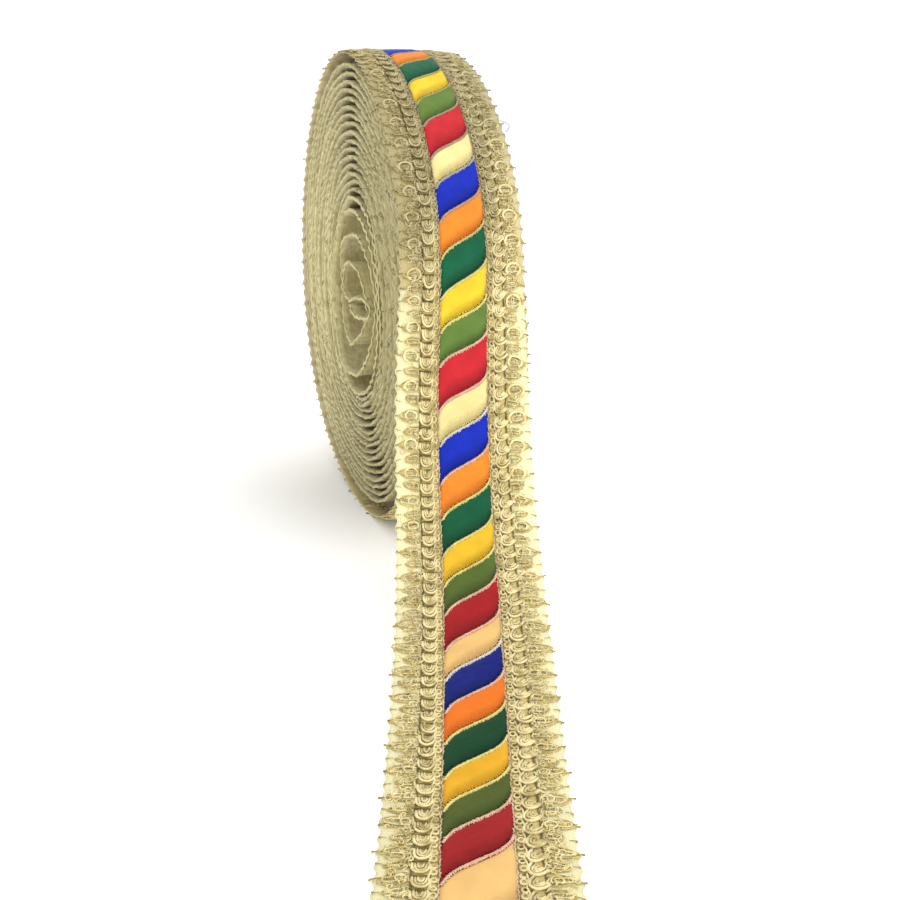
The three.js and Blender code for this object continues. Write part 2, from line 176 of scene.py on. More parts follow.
# The loose end: distance along it, slope below level, heading to the left and slant within its own face
BENDS = [
    (0, 69.8, 0, 6.9), (12, 65.8, 2.8, 5.6), (28, 61, 10.4, 4.1), (50, 54.6, 11.7, 2.4),
    (75, 45.4, 12.5, 1.6), (100, 32.8, 14, 1), (125, 22.5, 15.3, 0.7), (150, 16.7, 16.5, 0.6),
    (175, 11.1, 17.4, 0.5), (200, 7.6, 17.8, 0.4), (225, 3.4, 18.1, 0.3), (245, 0, 18.3, 0.2),
    (300, 0, 19.8, 0),
]
TAPE = 1.2  # height of the cut end's upper face above the floor

# The net outside the tufts' roots: its width, its waves where it hangs free, its droop on the floor and on
# the roll, and how much it puckers from tuft to tuft
OUTER_NET, FREE_WAVE, FLOOR_DROOP, ROLL_DROOP, PUCKER = 8.5, 0.55, 0.6, 0.45, 0.16

# Where the last turn starts, its right side is drawn in so far, which fades between two distances from there
TUCK, TUCK_FADES, TUCK_ENDS = 3.4, 70, 120

# Small helpers


def trim(size):
    """A size of the trim, in millimetres."""
    return getattr(bpy.context.scene.lace_trim, size) / MM


def roll(size):
    """A size of the roll, in millimetres."""
    return getattr(bpy.context.scene.lace_roll, size) / MM


def turns():
    return bpy.context.scene.lace_roll.full_turns + PART_TURN + 1


def ease(t):
    t = np.clip(t, 0, 1)
    return t * t * (3 - 2 * t)


def fade(value, none_at, full_at):
    """0 at one value and before it, 1 at another and beyond it, and an even swing between the two."""
    return ease((value - none_at) / (full_at - none_at))


def wander(a, b):
    """A slow, irregular wave between -1 and 1."""
    waves = ((1.7, 2.3, 0), (3.1, -1.3, 1.1), (5.3, 4.1, 2.7))
    return sum(np.sin(a * along_a + b * along_b + start) for along_a, along_b, start in waves) / len(waves)


def astray(rng, reach, count):
    """Random distances of up to a reach either way."""
    return rng.uniform(-reach, reach, count)


def unit(vectors):
    return vectors / np.maximum(np.linalg.norm(vectors, axis=-1, keepdims=True), 1e-9)


def places(along, across, up):
    """Places in millimetres along, across and above the trim."""
    return np.stack(np.broadcast_arrays(along, across, up), axis=-1)


def smooth_line(rows, at):
    """A smooth line through rows of (place, value), read at some places."""
    x, y = np.array(rows, float).T
    slope = np.empty_like(y)
    slope[1:-1] = (y[2:] - y[:-2]) / (x[2:] - x[:-2])
    slope[0], slope[-1] = (y[1] - y[0]) / (x[1] - x[0]), (y[-1] - y[-2]) / (x[-1] - x[-2])
    k = np.clip(np.searchsorted(x, at, side="right") - 1, 0, len(x) - 2)
    h = x[k + 1] - x[k]
    t = (at - x[k]) / h
    here = (1 + 2 * t) * (1 - t) ** 2 * y[k] + t * (1 - t) ** 2 * h * slope[k]
    return here + t * t * (3 - 2 * t) * y[k + 1] + t * t * (t - 1) * h * slope[k + 1]


# The two routes that everything is laid along: the wound turns, and the last turn with the loose end


class Route:
    """A line through space with the directions across it and away from it. Places on it are given in
    millimetres along it, across it and above it."""

    def __init__(self, points, across, ends_at=0):
        steps = np.linalg.norm(np.diff(points, axis=0), axis=1)
        self.along = np.concatenate([[0], np.cumsum(steps)])
        self.along -= self.along[ends_at]
        self.points = points
        self.across = unit(across)
        self.away = unit(np.cross(unit(np.gradient(points, axis=0)), self.across))

    def smooth(self, reach):
        """Evens out the two directions over a number of stations."""
        weight = np.ones(2 * reach + 1) / (2 * reach + 1)
        for name in ("across", "away"):
            padded = np.pad(getattr(self, name), ((reach, reach), (0, 0)), mode="edge")
            even = np.stack([np.convolve(padded[:, k], weight, mode="valid") for k in range(3)], axis=1)
            setattr(self, name, unit(even))
        return self

    def lay(self, spots):
        """Turns places on the route into points of the scene, none of them in the floor."""
        along, across, up = spots[..., 0], spots[..., 1:2], spots[..., 2:3]

        def at(rows):
            return np.stack([np.interp(along, self.along, rows[:, k]) for k in range(3)], axis=-1)

        laid = at(self.points) + at(self.across) * across + at(self.away) * up
        lowest = FLOOR_GAP + FLATTENED * np.maximum(up[..., 0], 0)
        laid[..., 2] = np.maximum(laid[..., 2], lowest)
        return laid * MM


def outline(angle):
    return 1 + SQUASH * np.cos(2 * angle) + LEAN * np.sin(2 * angle) + BELLY * np.cos(3 * angle)


def wound_place(turn):
    """The spiral after a number of turns, as rows of x, y, z."""
    angle = DEPART + ONE_TURN * (turn - turns())
    share = np.clip((turn - LOOSE_TURNS) / (turns() - 1 - LOOSE_TURNS), 0, 1)
    radius, step = roll("radius"), roll("step")
    inner = smooth_line(INNER, np.minimum(turn, LOOSE_TURNS) * 360)
    climb = step * ease((turn - turns() + 1) / SETTLE)
    outer = INNER[-1][1] + (radius - step - INNER[-1][1]) * share + climb
    sag = 1 + (outline(angle) - 1) * np.sqrt(share)
    uneven = 1 + UNEVEN * wander(turn * 2.1, angle) * (1 - share)
    reach = np.where(turn < LOOSE_TURNS, inner, outer) * sag * uneven
    x = CREEP * np.maximum((angle - CREEP_FROM) / (DEPART - CREEP_FROM), 0) ** 2
    y = CENTRE_Y + EYE_Y * (1 - share) - reach * np.sin(angle)
    z = CENTRE_Z + EYE_Z * (1 - share) + reach * np.cos(angle)
    return np.stack([x, y, z], axis=1)


def sideways(count):
    return np.tile([1.0, 0, 0], (count, 1))


def wound_route():
    """From the curled inner end to the start of the last turn."""
    shares = np.arange(0, len(INNER_END) - 1 + 1e-6, 0.05)
    y, z = (smooth_line([(i, place[k]) for i, place in enumerate(INNER_END)], shares) for k in (0, 1))
    end = places(0, y, z)
    spiral_turns = np.arange(4 * TURN_STEP, turns() - 1 + RUN_ON, TURN_STEP)
    points = np.concatenate([end, wound_place(spiral_turns)])
    way = Route(points, sideways(len(points))).smooth(3)
    way.turn = np.concatenate([np.linspace(-0.4, 0, len(end)), spiral_turns])
    return way


def loose_path(slope_share, start):
    """The loose end's path with its slopes scaled by one share, and the direction across it."""
    along = np.arange(0, roll("loose_length") + LOOSE_STEP, LOOSE_STEP)
    rows = np.array(BENDS, float)
    slope, left, slant = (np.radians(np.interp(along, rows[:, 0], rows[:, k])) for k in (1, 2, 3))
    slope = slope * slope_share
    level = np.stack([np.cos(left), -np.sin(left), 0 * left], axis=1)
    down = np.stack([-np.sin(left) * np.cos(slope), -np.cos(left) * np.cos(slope), -np.sin(slope)], axis=1)
    turn_cos, turn_sin = np.cos(slant)[:, None], np.sin(slant)[:, None]
    ahead = down * turn_cos - level * turn_sin
    across = level * turn_cos + down * turn_sin
    points = start + np.concatenate([np.zeros((1, 3)), np.cumsum(ahead[:-1] * LOOSE_STEP, axis=0)])
    return points, across


def last_turn():
    return np.linspace(turns() - LAST_TURN, turns(), LAST_STATIONS)


def trim_route():
    """The last turn and the loose end. Distances along it are counted from where the loose end leaves the
    roll. The loose end's slopes are scaled until its cut end lies on the floor."""
    last = wound_place(last_turn())
    low, high = LEAST_SLOPE, MOST_SLOPE
    for _ in range(HALVINGS):
        share = (low + high) / 2
        if loose_path(share, last[-1])[0][-1, 2] > TAPE:
            low = share
        else:
            high = share
    points, across = loose_path(low, last[-1])
    on_roll = fade(np.arange(len(points)), TURN_IN, 0)[:, None]
    across = across * (1 - on_roll) + np.array([1.0, 0, 0]) * on_roll
    all_points = np.concatenate([last, points[1:]])
    return Route(all_points, np.concatenate([sideways(len(last)), across[1:]]), len(last) - 1).smooth(8)


@cache
def route(name):
    """A route by its name, worked out once."""
    return {"wound": wound_route, "trim": trim_route}[name]()


def top_of_roll():
    """Distance along the trim of the roll's top."""
    wound = route("trim").along[:LAST_STATIONS]
    return float(np.interp(turns() - DEPART / ONE_TURN, last_turn(), wound))


def trim_start():
    return float(route("trim").along[0]) + SHORT_START


def trim_end():
    return roll("loose_length") - SHORT_END


def run(first, last, step):
    """Even places along the trim, from so far in from its start to so far in from its cut end."""
    return np.arange(trim_start() + first, trim_end() - last, step)


def scallops(along):
    """An angle that makes one turn for each tuft, large or small."""
    return ONE_TURN * along / (trim("tuft_pitch") / 2)


def tuck(along, across):
    """Where the last turn starts, under the loose end, its right side is drawn in a little."""
    near = fade(along - trim_start(), TUCK_ENDS, TUCK_FADES)
    return across - TUCK * near * np.clip(across / trim("half_width"), 0, 1.1)


def net_lift(along, across):
    """How far the net lifts and droops away from its route. Everything sewn to it follows."""
    out = np.clip((np.abs(across) - trim("tuft_root")) / OUTER_NET, 0, 1.3)
    side = np.sign(across)
    on_roll, on_floor = fade(along, 30, 0), fade(along, 190, 250)
    free = fade(along, 0, 40) * fade(along, 210, 150)
    wave = FREE_WAVE * free * wander(along / 30, 2.5 + 1.5 * side)
    pucker = PUCKER * np.sin(scallops(along) + side) * (1 - on_floor)
    return out**2 * (wave - FLOOR_DROOP * on_floor - ROLL_DROOP * on_roll) + out * pucker


# Mesh code: a lot is points, faces and the UV of each face's corners

UV_SHARE = 0.1  # UV units for each millimetre


def slab(upper, lower, uv=None):
    """A closed sheet between an upper and a lower grid of places."""
    rows, columns = upper.shape[:2]
    size = rows * columns
    index = np.arange(size).reshape(rows, columns)
    top = np.stack([index[:-1, :-1], index[1:, :-1], index[1:, 1:], index[:-1, 1:]], axis=-1).reshape(-1, 4)
    rims = []
    for line in (index[0], index[:, -1], index[-1, ::-1], index[::-1, 0]):
        rims.append(np.stack([line[:-1], line[1:], line[1:] + size, line[:-1] + size], axis=-1))
    faces = np.concatenate([top, top[:, ::-1] + size, *rims])
    points = np.concatenate([upper.reshape(-1, 3), lower.reshape(-1, 3)])
    uv = (upper[..., :2] * UV_SHARE if uv is None else uv).reshape(-1, 2)
    return points, faces, np.concatenate([uv, uv])[faces]


def threads(paths, wide, tall=None, sides=4, closed=False):
    """Closed threads round many paths at once. wide and tall are half the section's width and height, and it
    has an even number of sides."""
    paths = np.asarray(paths, float)
    if paths.ndim == 2:
        paths = paths[None]
    count, stations = paths.shape[:2]
    wide = np.broadcast_to(np.asarray(wide, float), (count, stations))
    tall = wide if tall is None else np.broadcast_to(np.asarray(tall, float), (count, stations))
    if closed:
        forward = unit(np.roll(paths, -1, axis=1) - np.roll(paths, 1, axis=1))
    else:
        forward = unit(np.gradient(paths, axis=1))
    side = unit(np.cross(forward, (0.0, 0.0, 1.0)))
    top = np.cross(side, forward)
    angle = np.arange(sides) * ONE_TURN / sides
    round_side = np.cos(angle)[:, None] * side[:, :, None] * wide[..., None, None]
    round_top = np.sin(angle)[:, None] * top[:, :, None] * tall[..., None, None]
    points = (paths[:, :, None] + round_side + round_top).reshape(-1, 3)

    index = np.arange(count * stations * sides).reshape(count, stations, sides)
    here, ahead = (index, np.roll(index, -1, axis=1)) if closed else (index[:, :-1], index[:, 1:])
    walls = np.stack([here, ahead, np.roll(ahead, -1, axis=2), np.roll(here, -1, axis=2)], axis=-1)
    gone = np.linalg.norm(np.diff(paths, axis=1, append=paths[:, :1]), axis=2)
    gone = np.concatenate([np.zeros((count, 1)), np.cumsum(gone, axis=1)], axis=1) * UV_SHARE
    gone = gone[:, : stations + 1] if closed else gone[:, :stations]
    u0, u1 = gone[:, :-1, None], gone[:, 1:, None]
    v0 = np.arange(sides)[None, None] / sides
    v1 = v0 + 1 / sides
    ends = ((u0, v0), (u1, v0), (u1, v1), (u0, v1))
    corners = [np.stack(np.broadcast_arrays(u, v), axis=-1) for u, v in ends]
    faces, uvs = [walls.reshape(-1, 4)], [np.stack(corners, axis=-2).reshape(-1, 4, 2)]
    if not closed:
        for k in range(0, sides - 2, 2):
            cap = [0, k + 1, k + 2, k + 3]
            faces += [index[:, 0][:, cap], index[:, -1][:, cap[::-1]]]
            uvs += [np.zeros((count, 4, 2)), np.zeros((count, 4, 2))]
    return points, np.concatenate(faces), np.concatenate(uvs)


def copies(path, along, scale=1.0, shift=0.0, lean=0.0):
    """One path copied to many distances along the trim, each scaled, shifted across it and leaned."""
    path = np.asarray(path, float)[None]
    along, scale, shift, lean = np.broadcast_arrays(along, scale, shift, lean)
    placed = path * places(scale, 1.0, scale)[:, None] + places(along, shift, 0)[:, None]
    placed[..., 0] += lean[:, None] * (path[..., 1] - path[..., 1].mean())
    return placed


USUAL_TONE = 0.65  # a thread's usual tone, between dull at 0 and pale at 1
ROLL_TONE, TUFT_TONE = 0.24, 0.8  # the tufts' tones on the upper half of the roll and elsewhere


def paleness(along, across):
    """Tone of the thread: dull on the upper half of the roll, and palest in the tufts where the loose end
    begins."""
    in_tufts = fade(np.abs(across), 14, 17)
    off_top = fade(along + 40 * np.sign(across) * in_tufts, -50, 10) + fade(along, -150, -220)
    palest = fade(along, -25, 15) * fade(along, 150, 90) * in_tufts
    dull, usual = ROLL_TONE * in_tufts, USUAL_TONE + (TUFT_TONE - USUAL_TONE) * in_tufts
    tone = dull + (usual - dull) * np.minimum(off_top, 1)
    return tone + (1 - tone) * palest


def where_loose_starts(along):
    """1 where the loose end begins: the tufts lie flatter and have fewer threads there."""
    return fade(along, -10, 20) * fade(along, 150, 100)


def add_piece(name, lots, look, laid_on="trim", replaces=(), tones=None):
    """An object of several lots, laid along a route, that rides on the part's body."""
    starts = np.cumsum([0] + [len(lot[0]) for lot in lots])
    points = np.concatenate([lot[0] for lot in lots])
    faces = np.concatenate([lot[1] + start for lot, start in zip(lots, starts)])
    uvs = np.concatenate([lot[2] for lot in lots])
    along, across = points[:, 0], points[:, 1]
    if laid_on == "trim":
        tones = paleness(along, across) if tones is None else tones
        points = places(along, tuck(along, across), points[:, 2] + net_lift(along, across))
    elif tones is None:
        tones = np.full(len(points), USUAL_TONE)
    points = route(laid_on).lay(points)
    mesh = bpy.data.meshes.new(name)
    mesh.vertices.add(len(points))
    mesh.vertices.foreach_set("co", points.astype(np.float32).ravel())
    mesh.loops.add(faces.size)
    mesh.loops.foreach_set("vertex_index", faces.astype(np.int32).ravel())
    mesh.polygons.add(len(faces))
    mesh.polygons.foreach_set("loop_start", np.arange(0, faces.size, 4, dtype=np.int32))
    mesh.polygons.foreach_set("use_smooth", np.ones(len(faces), bool))
    mesh.update(calc_edges=True)
    mesh.uv_layers.new(name="run").data.foreach_set("uv", uvs.astype(np.float32).ravel())
    mesh.attributes.new("tone", "FLOAT", "POINT").data.foreach_set("value", tones.astype(np.float32).ravel())
    mesh.materials.append(finish(look))
    piece = bpy.data.objects.new(name, mesh)
    bpy.context.scene.collection.objects.link(piece)
    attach(piece, "root")
    if replaces:
        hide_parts(*replaces)
    return piece


# Materials


class Shader:
    """A material's node tree, built a node at a time."""

    def __init__(self, name):
        self.material = bpy.data.materials.new(name)
        self.material.use_nodes = True
        self.tree = self.material.node_tree
        self.surface = self.tree.nodes["Principled BSDF"]

    def node(self, kind, inputs=None, **settings):
        made = self.tree.nodes.new(kind)
        for key, value in settings.items():
            setattr(made, key, value)
        for key, value in (inputs or {}).items():
            self.put(made.inputs[key], value)
        return made

    def put(self, socket, value):
        if isinstance(value, bpy.types.NodeSocket):
            self.tree.links.new(value, socket)
        else:
            socket.default_value = value

    def set(self, **values):
        """Sets the surface's sockets, whose names are given in small letters with underscores."""
        for key, value in values.items():
            self.put(self.surface.inputs[key.replace("_", " ").title().replace("Ior", "IOR")], value)

    def uv(self, scale):
        found = self.node("ShaderNodeUVMap", uv_map="run")
        return self.node("ShaderNodeMapping", {"Vector": found.outputs[0], "Scale": scale}).outputs[0]

    def place(self):
        return self.node("ShaderNodeTexCoord").outputs["Object"]

    def tone(self):
        return self.node("ShaderNodeAttribute", attribute_name="tone").outputs["Fac"]

    def noise(self, vector, scale, detail=2.0, rough=0.5):
        inputs = {"Vector": vector, "Scale": scale, "Detail": detail, "Roughness": rough}
        return self.node("ShaderNodeTexNoise", inputs).outputs["Fac"]

    def wave(self, vector, distortion=0.0, direction="X"):
        inputs = {"Vector": vector, "Scale": 1.0, "Distortion": distortion}
        return self.node("ShaderNodeTexWave", inputs, bands_direction=direction).outputs["Fac"]

    def ramp(self, value, low, high):
        inputs = {"Value": value, "From Min": low, "From Max": high}
        return self.node("ShaderNodeMapRange", inputs, clamp=True).outputs[0]

    def blend(self, share, first, second, how="MIX"):
        made = self.node("ShaderNodeMix", data_type="RGBA", blend_type=how, clamp_result=True)
        for index, value in ((0, share), (6, first), (7, second)):
            self.put(made.inputs[index], (*value, 1.0) if isinstance(value, tuple) else value)
        return made.outputs[2]

    def toned(self, colour_socket, low, high):
        """A colour made darker or brighter by the piece's tone, between two factors."""
        inputs = {"Value": self.tone(), "To Min": low, "To Max": high}
        factor = self.node("ShaderNodeMapRange", inputs, clamp=True).outputs[0]
        return self.blend(1.0, colour_socket, factor, "MULTIPLY")

    def math(self, how, first, second=0.0):
        made = self.node("ShaderNodeMath", operation=how)
        self.put(made.inputs[0], first)
        self.put(made.inputs[1], second)
        return made.outputs[0]

    def off_middle(self, noise, share):
        """A noise's distance from its middle, scaled."""
        return self.math("MULTIPLY", self.math("SUBTRACT", noise, 0.5), share)

    def bump(self, height, distance, strength=1.0, below=None):
        made = self.node("ShaderNodeBump", {"Height": height, "Distance": distance, "Strength": strength})
        if below is not None:
            self.put(made.inputs["Normal"], below)
        return made.outputs[0]


def shade(name, share=1.0):
    """A colour that the user can change, by its name, made darker or brighter."""
    return tuple(x * share for x in getattr(bpy.context.scene.lace_colours, name)[:3])


def thread_finish(name, light, dark):
    """Twisted thread: two tones in patches and a fine diagonal twist."""
    s = Shader(name)
    place = s.place()
    patchy = s.ramp(s.noise(place, 300, 3), 0.3, 0.56)
    s.set(base_color=s.toned(s.blend(patchy, dark, light), 0.6, 1.15))
    twist = s.wave(s.uv((14, 1, 1)), direction="DIAGONAL")
    fuzz = s.noise(place, 2600, 2)
    s.set(normal=s.bump(fuzz, 0.00012, 0.5, s.bump(twist, 0.00012, 0.7)))
    s.set(roughness=0.7, sheen_weight=0.1, sheen_roughness=0.5, specular_ior_level=0.22)
    return s.material


# Painted light: how much brighter a deep and a pale satin are painted on the roll, where the light falls
# more strongly, in red, green and blue
DEEP_LIT_GAINS, PALE_LIT_GAINS = (1.8, 2.2, 2.7), (1.06, 1.5, 1.8)
BRIGHTEST = 0.92


def satin_finish(name, base):
    """Satin: a fine weave with a soft gloss, with painted light that brightens it on the roll and painted
    shade that darkens it toward a patch's lower end.
    """
    s = Shader(name)
    place = s.place()
    gains = DEEP_LIT_GAINS if max(base) < 0.5 else PALE_LIT_GAINS
    bright = tuple(min(BRIGHTEST, x * gain + 0.003) for x, gain in zip(base, gains))
    # painted light: the tone attribute is the share of painted brightness, full on the roll
    tone = s.blend(s.tone(), base, bright)
    cloudy = s.ramp(s.noise(place, 130, 3), 0.3, 0.75)
    tone = s.blend(s.math("MULTIPLY", cloudy, 0.3), tone, tuple(x * 0.5 for x in base))
    down = s.node("ShaderNodeSeparateXYZ", {"Vector": s.uv((1, 1, 1))}).outputs[0]
    ragged = s.math("ADD", down, s.off_middle(s.noise(place, 1300, 2), 0.22))
    # painted shade: darker toward a patch's lower end, where its padded dome turns away from the light
    painted_lower_shade = s.math("MULTIPLY", s.ramp(ragged, 0.62, 0.97), 0.6)
    s.set(base_color=s.blend(painted_lower_shade, tone, tuple(x * 0.22 for x in base)))
    weave = s.wave(s.uv((26, 2, 1)), 1.5)
    crease = s.noise(place, 420, 3, 0.6)
    s.set(normal=s.bump(crease, 0.0004, 0.35, s.bump(weave, 0.00005, 0.5)))
    s.set(roughness=s.ramp(s.noise(place, 300, 2), -1.2, 2.0), anisotropic=0.4)
    s.set(sheen_weight=0.02, specular_ior_level=0.14)
    return s.material


def net_finish(name, base, sheer, gains):
    """Sheer net: a fine mesh of threads with open cells."""
    s = Shader(name)
    inputs = {"Vector": s.uv((1, 1, 1)), "Scale": 13.0, "Randomness": 0.35}
    cells = s.node("ShaderNodeTexVoronoi", inputs, feature="DISTANCE_TO_EDGE").outputs["Distance"]
    thread = s.math("SUBTRACT", 1.0, s.ramp(cells, 0.02, 0.12))
    broad = s.ramp(s.noise(s.place(), 90, 2), 0.3, 0.7)
    closed = s.math("ADD", s.math("MULTIPLY", thread, 0.3), s.math("MULTIPLY", broad, 0.12))
    s.set(alpha=s.math("ADD", closed, sheer))
    tone = s.blend(broad, base, tuple(min(1, x * 1.08) for x in base))
    s.set(base_color=s.toned(tone, *gains))
    s.set(normal=s.bump(thread, 0.0001, 0.6), roughness=0.75, sheen_weight=0.2)
    return s.material


def wound_finish(name, light, dark):
    """The stacked edges of the wound turns: pale at each edge, and darker down between them with painted
    shade.
    """
    s = Shader(name)
    place = s.place()
    patchy = s.off_middle(s.noise(place, 330, 4, 0.65), 0.9)
    streaky = s.off_middle(s.noise(s.uv((1.6, 14, 1)), 1.0, 2), 0.6)
    share = s.math("ADD", s.tone(), s.math("ADD", patchy, streaky))
    s.set(base_color=s.blend(s.ramp(share, 0.0, 1.0), dark, light))
    s.set(normal=s.bump(s.noise(place, 1500, 3, 0.7), 0.0005, 0.7), roughness=0.85, sheen_weight=0.2)
    return s.material


# Each thread's light and dark tone: a colour, and how bright the thread is beside it
THREADS = {
    "net_edge_thread": ("net", 1, "net", 0.85),
    "braid_thread": ("thread_light", 1, "thread_dark", 1),
    "braid_ground": ("thread_dark", 1.35, "thread_dark", 1),
    "tuft_thread": ("thread_light", 1, "thread_dark", 1.4),
    "tuft_rim": ("thread_dark", 1.35, "thread_dark", 0.85),
    "tuft_shade": ("thread_light", 0.85, "thread_dark", 1.3),
    "stitch_yellow": ("stitch_yellow", 1, "stitch_yellow", 0.82),
    "stitch_pink": ("stitch_pink", 1, "stitch_pink", 0.82),
    "stitch_white": ("stitch_white", 1, "stitch_white", 0.85),
    "seam_shade": ("seam_shade", 1, "seam_shade", 0.5),
    "picot_thread": ("thread_dark", 0.8, "groove", 0.8),
    "groove_cord": ("groove", 1, "groove", 0.6),
    "selvedge_thread": ("selvedge", 1, "selvedge", 0.7),
    "hem_thread": ("wound_light", 0.94, "wound_light", 0.66),
    "wound_thread": ("wound_light", 1, "wound_gap_shade", 1.5),
}

# Each net's colour, its least opacity, and its factors where the tone is dull and where it is pale
NETS = {"sheer_net": ("net", 0.6, (0.5, 1.05)), "sheer_net_on_roll": ("net_on_roll", 0.55, (0.9, 1.6))}


@cache
def finish(name):
    """A finish by its name, made once."""
    if name in THREADS:
        light, light_share, dark, dark_share = THREADS[name]
        return thread_finish(name, shade(light, light_share), shade(dark, dark_share))
    if name in NETS:
        base, sheer, gains = NETS[name]
        return net_finish(name, shade(base), sheer, gains)
    if name == "wound_edges":
        return wound_finish(name, shade("wound_light"), shade("wound_gap_shade"))
    return satin_finish(name, shade(name.removeprefix("satin_")))


# Wound turns

EDGE_INSET = 0.5  # how far the wound edges lie in from the edge of the net
# Where the left edge bulges in the open centre: turn, reach in turns, how far out
BULGES = ((0.68, 0.1, 2.6), (1.15, 0.12, 1.2), (1.72, 0.16, 1.6), (2.35, 0.14, 1.0))
RECESS, RECESS_REACH = 3.4, 0.62  # the right edge lies in by so much at the front, over so many radians
PULL, PULL_ENDS = -2.0, 40  # the curled inner end is pulled out to the left, up to this distance along it
WOUND_SECTION = (
    # in from the edge, share of the ripple, thickness of a slack turn, tones of its outer and inner face;
    # the inner faces' low tones are painted shade down in the gaps between turns
    (0.0, 1.0, 0.9, 1.05, 0.2),
    (2.2, 0.7, 1.6, 0.5, 0.2),
    (8.0, 0.1, 1.3, 0.3, 0.2),
    (9.3, 0.0, 0.0, 0.3, 0.3),
)
WOUND_STEP = 2.3  # from station to station along the wound strip
SINK = 0.3  # how far the strip's upper face lies below its route
BULK, LEAST_BULK = 3.4, 0.5  # thickness of the middle of the strip, which lies close on the turn below
PAD_GAP = 1.0  # the pad under the last turn stops so far below it
HEM_TURNS = LOOSE_TURNS + 0.9  # the turns that have a pale bound edge


def wound_turn(along):
    """The turn at a distance along the wound strip, and its angle from the roll's top, forward."""
    way = route("wound")
    turn = np.interp(along, way.along, way.turn)
    return turn, DEPART + ONE_TURN * (turn - turns())


def pressed(along):
    """How tightly the turns lie on each other: tight at the back of the roll and slack at its front."""
    turn, angle = wound_turn(along)
    tight = 0.15 + 0.85 * (0.5 - 0.5 * np.sin(angle)) ** 1.5
    return np.clip(tight + 0.15 * wander(turn * 0.7, angle * 1.3), 0, 1) * fade(turn, 0, 4)


def wound_width(along, side):
    """Where the edge of a wound turn lies: in a little at some places, and scalloped. The left edge bulges
    in the open centre, and the right edge lies in at the front."""
    turn, angle = wound_turn(along)
    outer_share = along / route("wound").along[-1]
    slow = 1.25 * (1 + wander(turn * 2.6 + side, angle * 0.5)) * (1 - 0.65 * outer_share)
    scallop = 0.3 * np.cos(scallops(along)) + 0.25 * wander(along / 3.1, side)
    if side < 0:
        out = sum(amount * np.exp(-(((turn - at) / reach) ** 2)) for at, reach, amount in BULGES)
    else:
        from_front = (angle + math.pi / 2) % ONE_TURN - math.pi
        out = -RECESS * np.exp(-((from_front / RECESS_REACH) ** 2))
    return trim("half_width") - EDGE_INSET - slow + scallop + out


def wound_ripple(along, side):
    """How far the edge of a wound turn waves in and out. Turns that lie together wave alike."""
    turn, angle = wound_turn(along)
    alike = 0.55 * wander(turn * 0.35 + side, angle * 4) + 0.4 * wander(turn * 0.8, angle * 11 + side)
    return (alike + 0.26 * wander(along / 2.9, 3 + side)) * (1 - 0.45 * pressed(along))


def wound_edge(along, side, out=0.0):
    """Place across the trim of a wound turn's edge, or of something so far out from it."""
    return side * (wound_width(along, side) + out) + PULL * fade(along, PULL_ENDS, 0)


def wound_turns():
    """The wound strip and its tones, with painted shade on its undersides down between the turns. Where the
    last turn lies over it, its middle is padded up to there.
    """
    along = np.arange(0.5, route("wound").along[-1] - 0.5, WOUND_STEP)
    tight, turn = pressed(along), wound_turn(along)[0]
    steady = 0.75 + 0.4 * tight**4 - 0.12 * tight
    loose = 0.3 * fade(turn, 4, 2)
    step = roll("step")
    between = (roll("radius") - step - INNER[-1][1]) / (turns() - 1 - LOOSE_TURNS)
    to_last = step + between * (turns() - 1 - turn) - PAD_GAP
    pad = np.maximum(ease((turn - turns() + 2) / SETTLE) * to_last, 0)
    bulk = BULK * fade(along, 0, 30) * (1 - 0.1 * wander(along / 23, 0)) + LEAST_BULK
    slack_limit = 0.6 + 2.4 * fade(along, 0, 20)
    upper, lower, upper_tones, lower_tones = [], [], [], []
    rows = [(-1, row) for row in WOUND_SECTION] + [(1, row) for row in reversed(WOUND_SECTION)]
    for side, (inset, ripple, slack, outer_tone, inner_tone) in rows:
        up = ripple * (wound_ripple(along, side) - 0.35) - SINK
        if slack:
            thick = slack * (0.85 + 0.35 * wander(along / 5.1, side + slack))
            thick = np.minimum(thick + 1.35 * tight * fade(along, 0, 300), slack_limit)
        else:
            up, thick = up + pad, bulk + pad
        across = wound_edge(along, side, -inset)
        upper.append(places(along, across, up))
        lower.append(places(along, across, up - thick))
        upper_tones.append(outer_tone * steady + loose)
        # painted shade: the undersides, seen down in the gaps between turns, take the dark tone, less dark
        # where the turns lie tight
        lower_tones.append(inner_tone + 0.5 * tight**2 * outer_tone + loose)
    tones = np.concatenate([np.stack(part, axis=1).ravel() for part in (upper_tones, lower_tones)])
    return slab(np.stack(upper, axis=1), np.stack(lower, axis=1)), tones


def hem(side):
    """The pale bound edge of the loose turns round the open centre."""
    way = route("wound")
    last = float(np.interp(HEM_TURNS, way.turn, way.along))
    along = np.arange(1.0, last, 1.3)
    up = wound_ripple(along, side) - 0.65 + 0.12 * wander(along / 1.1, side)
    thick = (0.45 + 0.12 * wander(along / 2.3, 4.0)) * (1 - 0.5 * fade(along, last - 60, last))
    return threads(places(along, wound_edge(along, side, 0.05), up), thick, thick * 1.9)


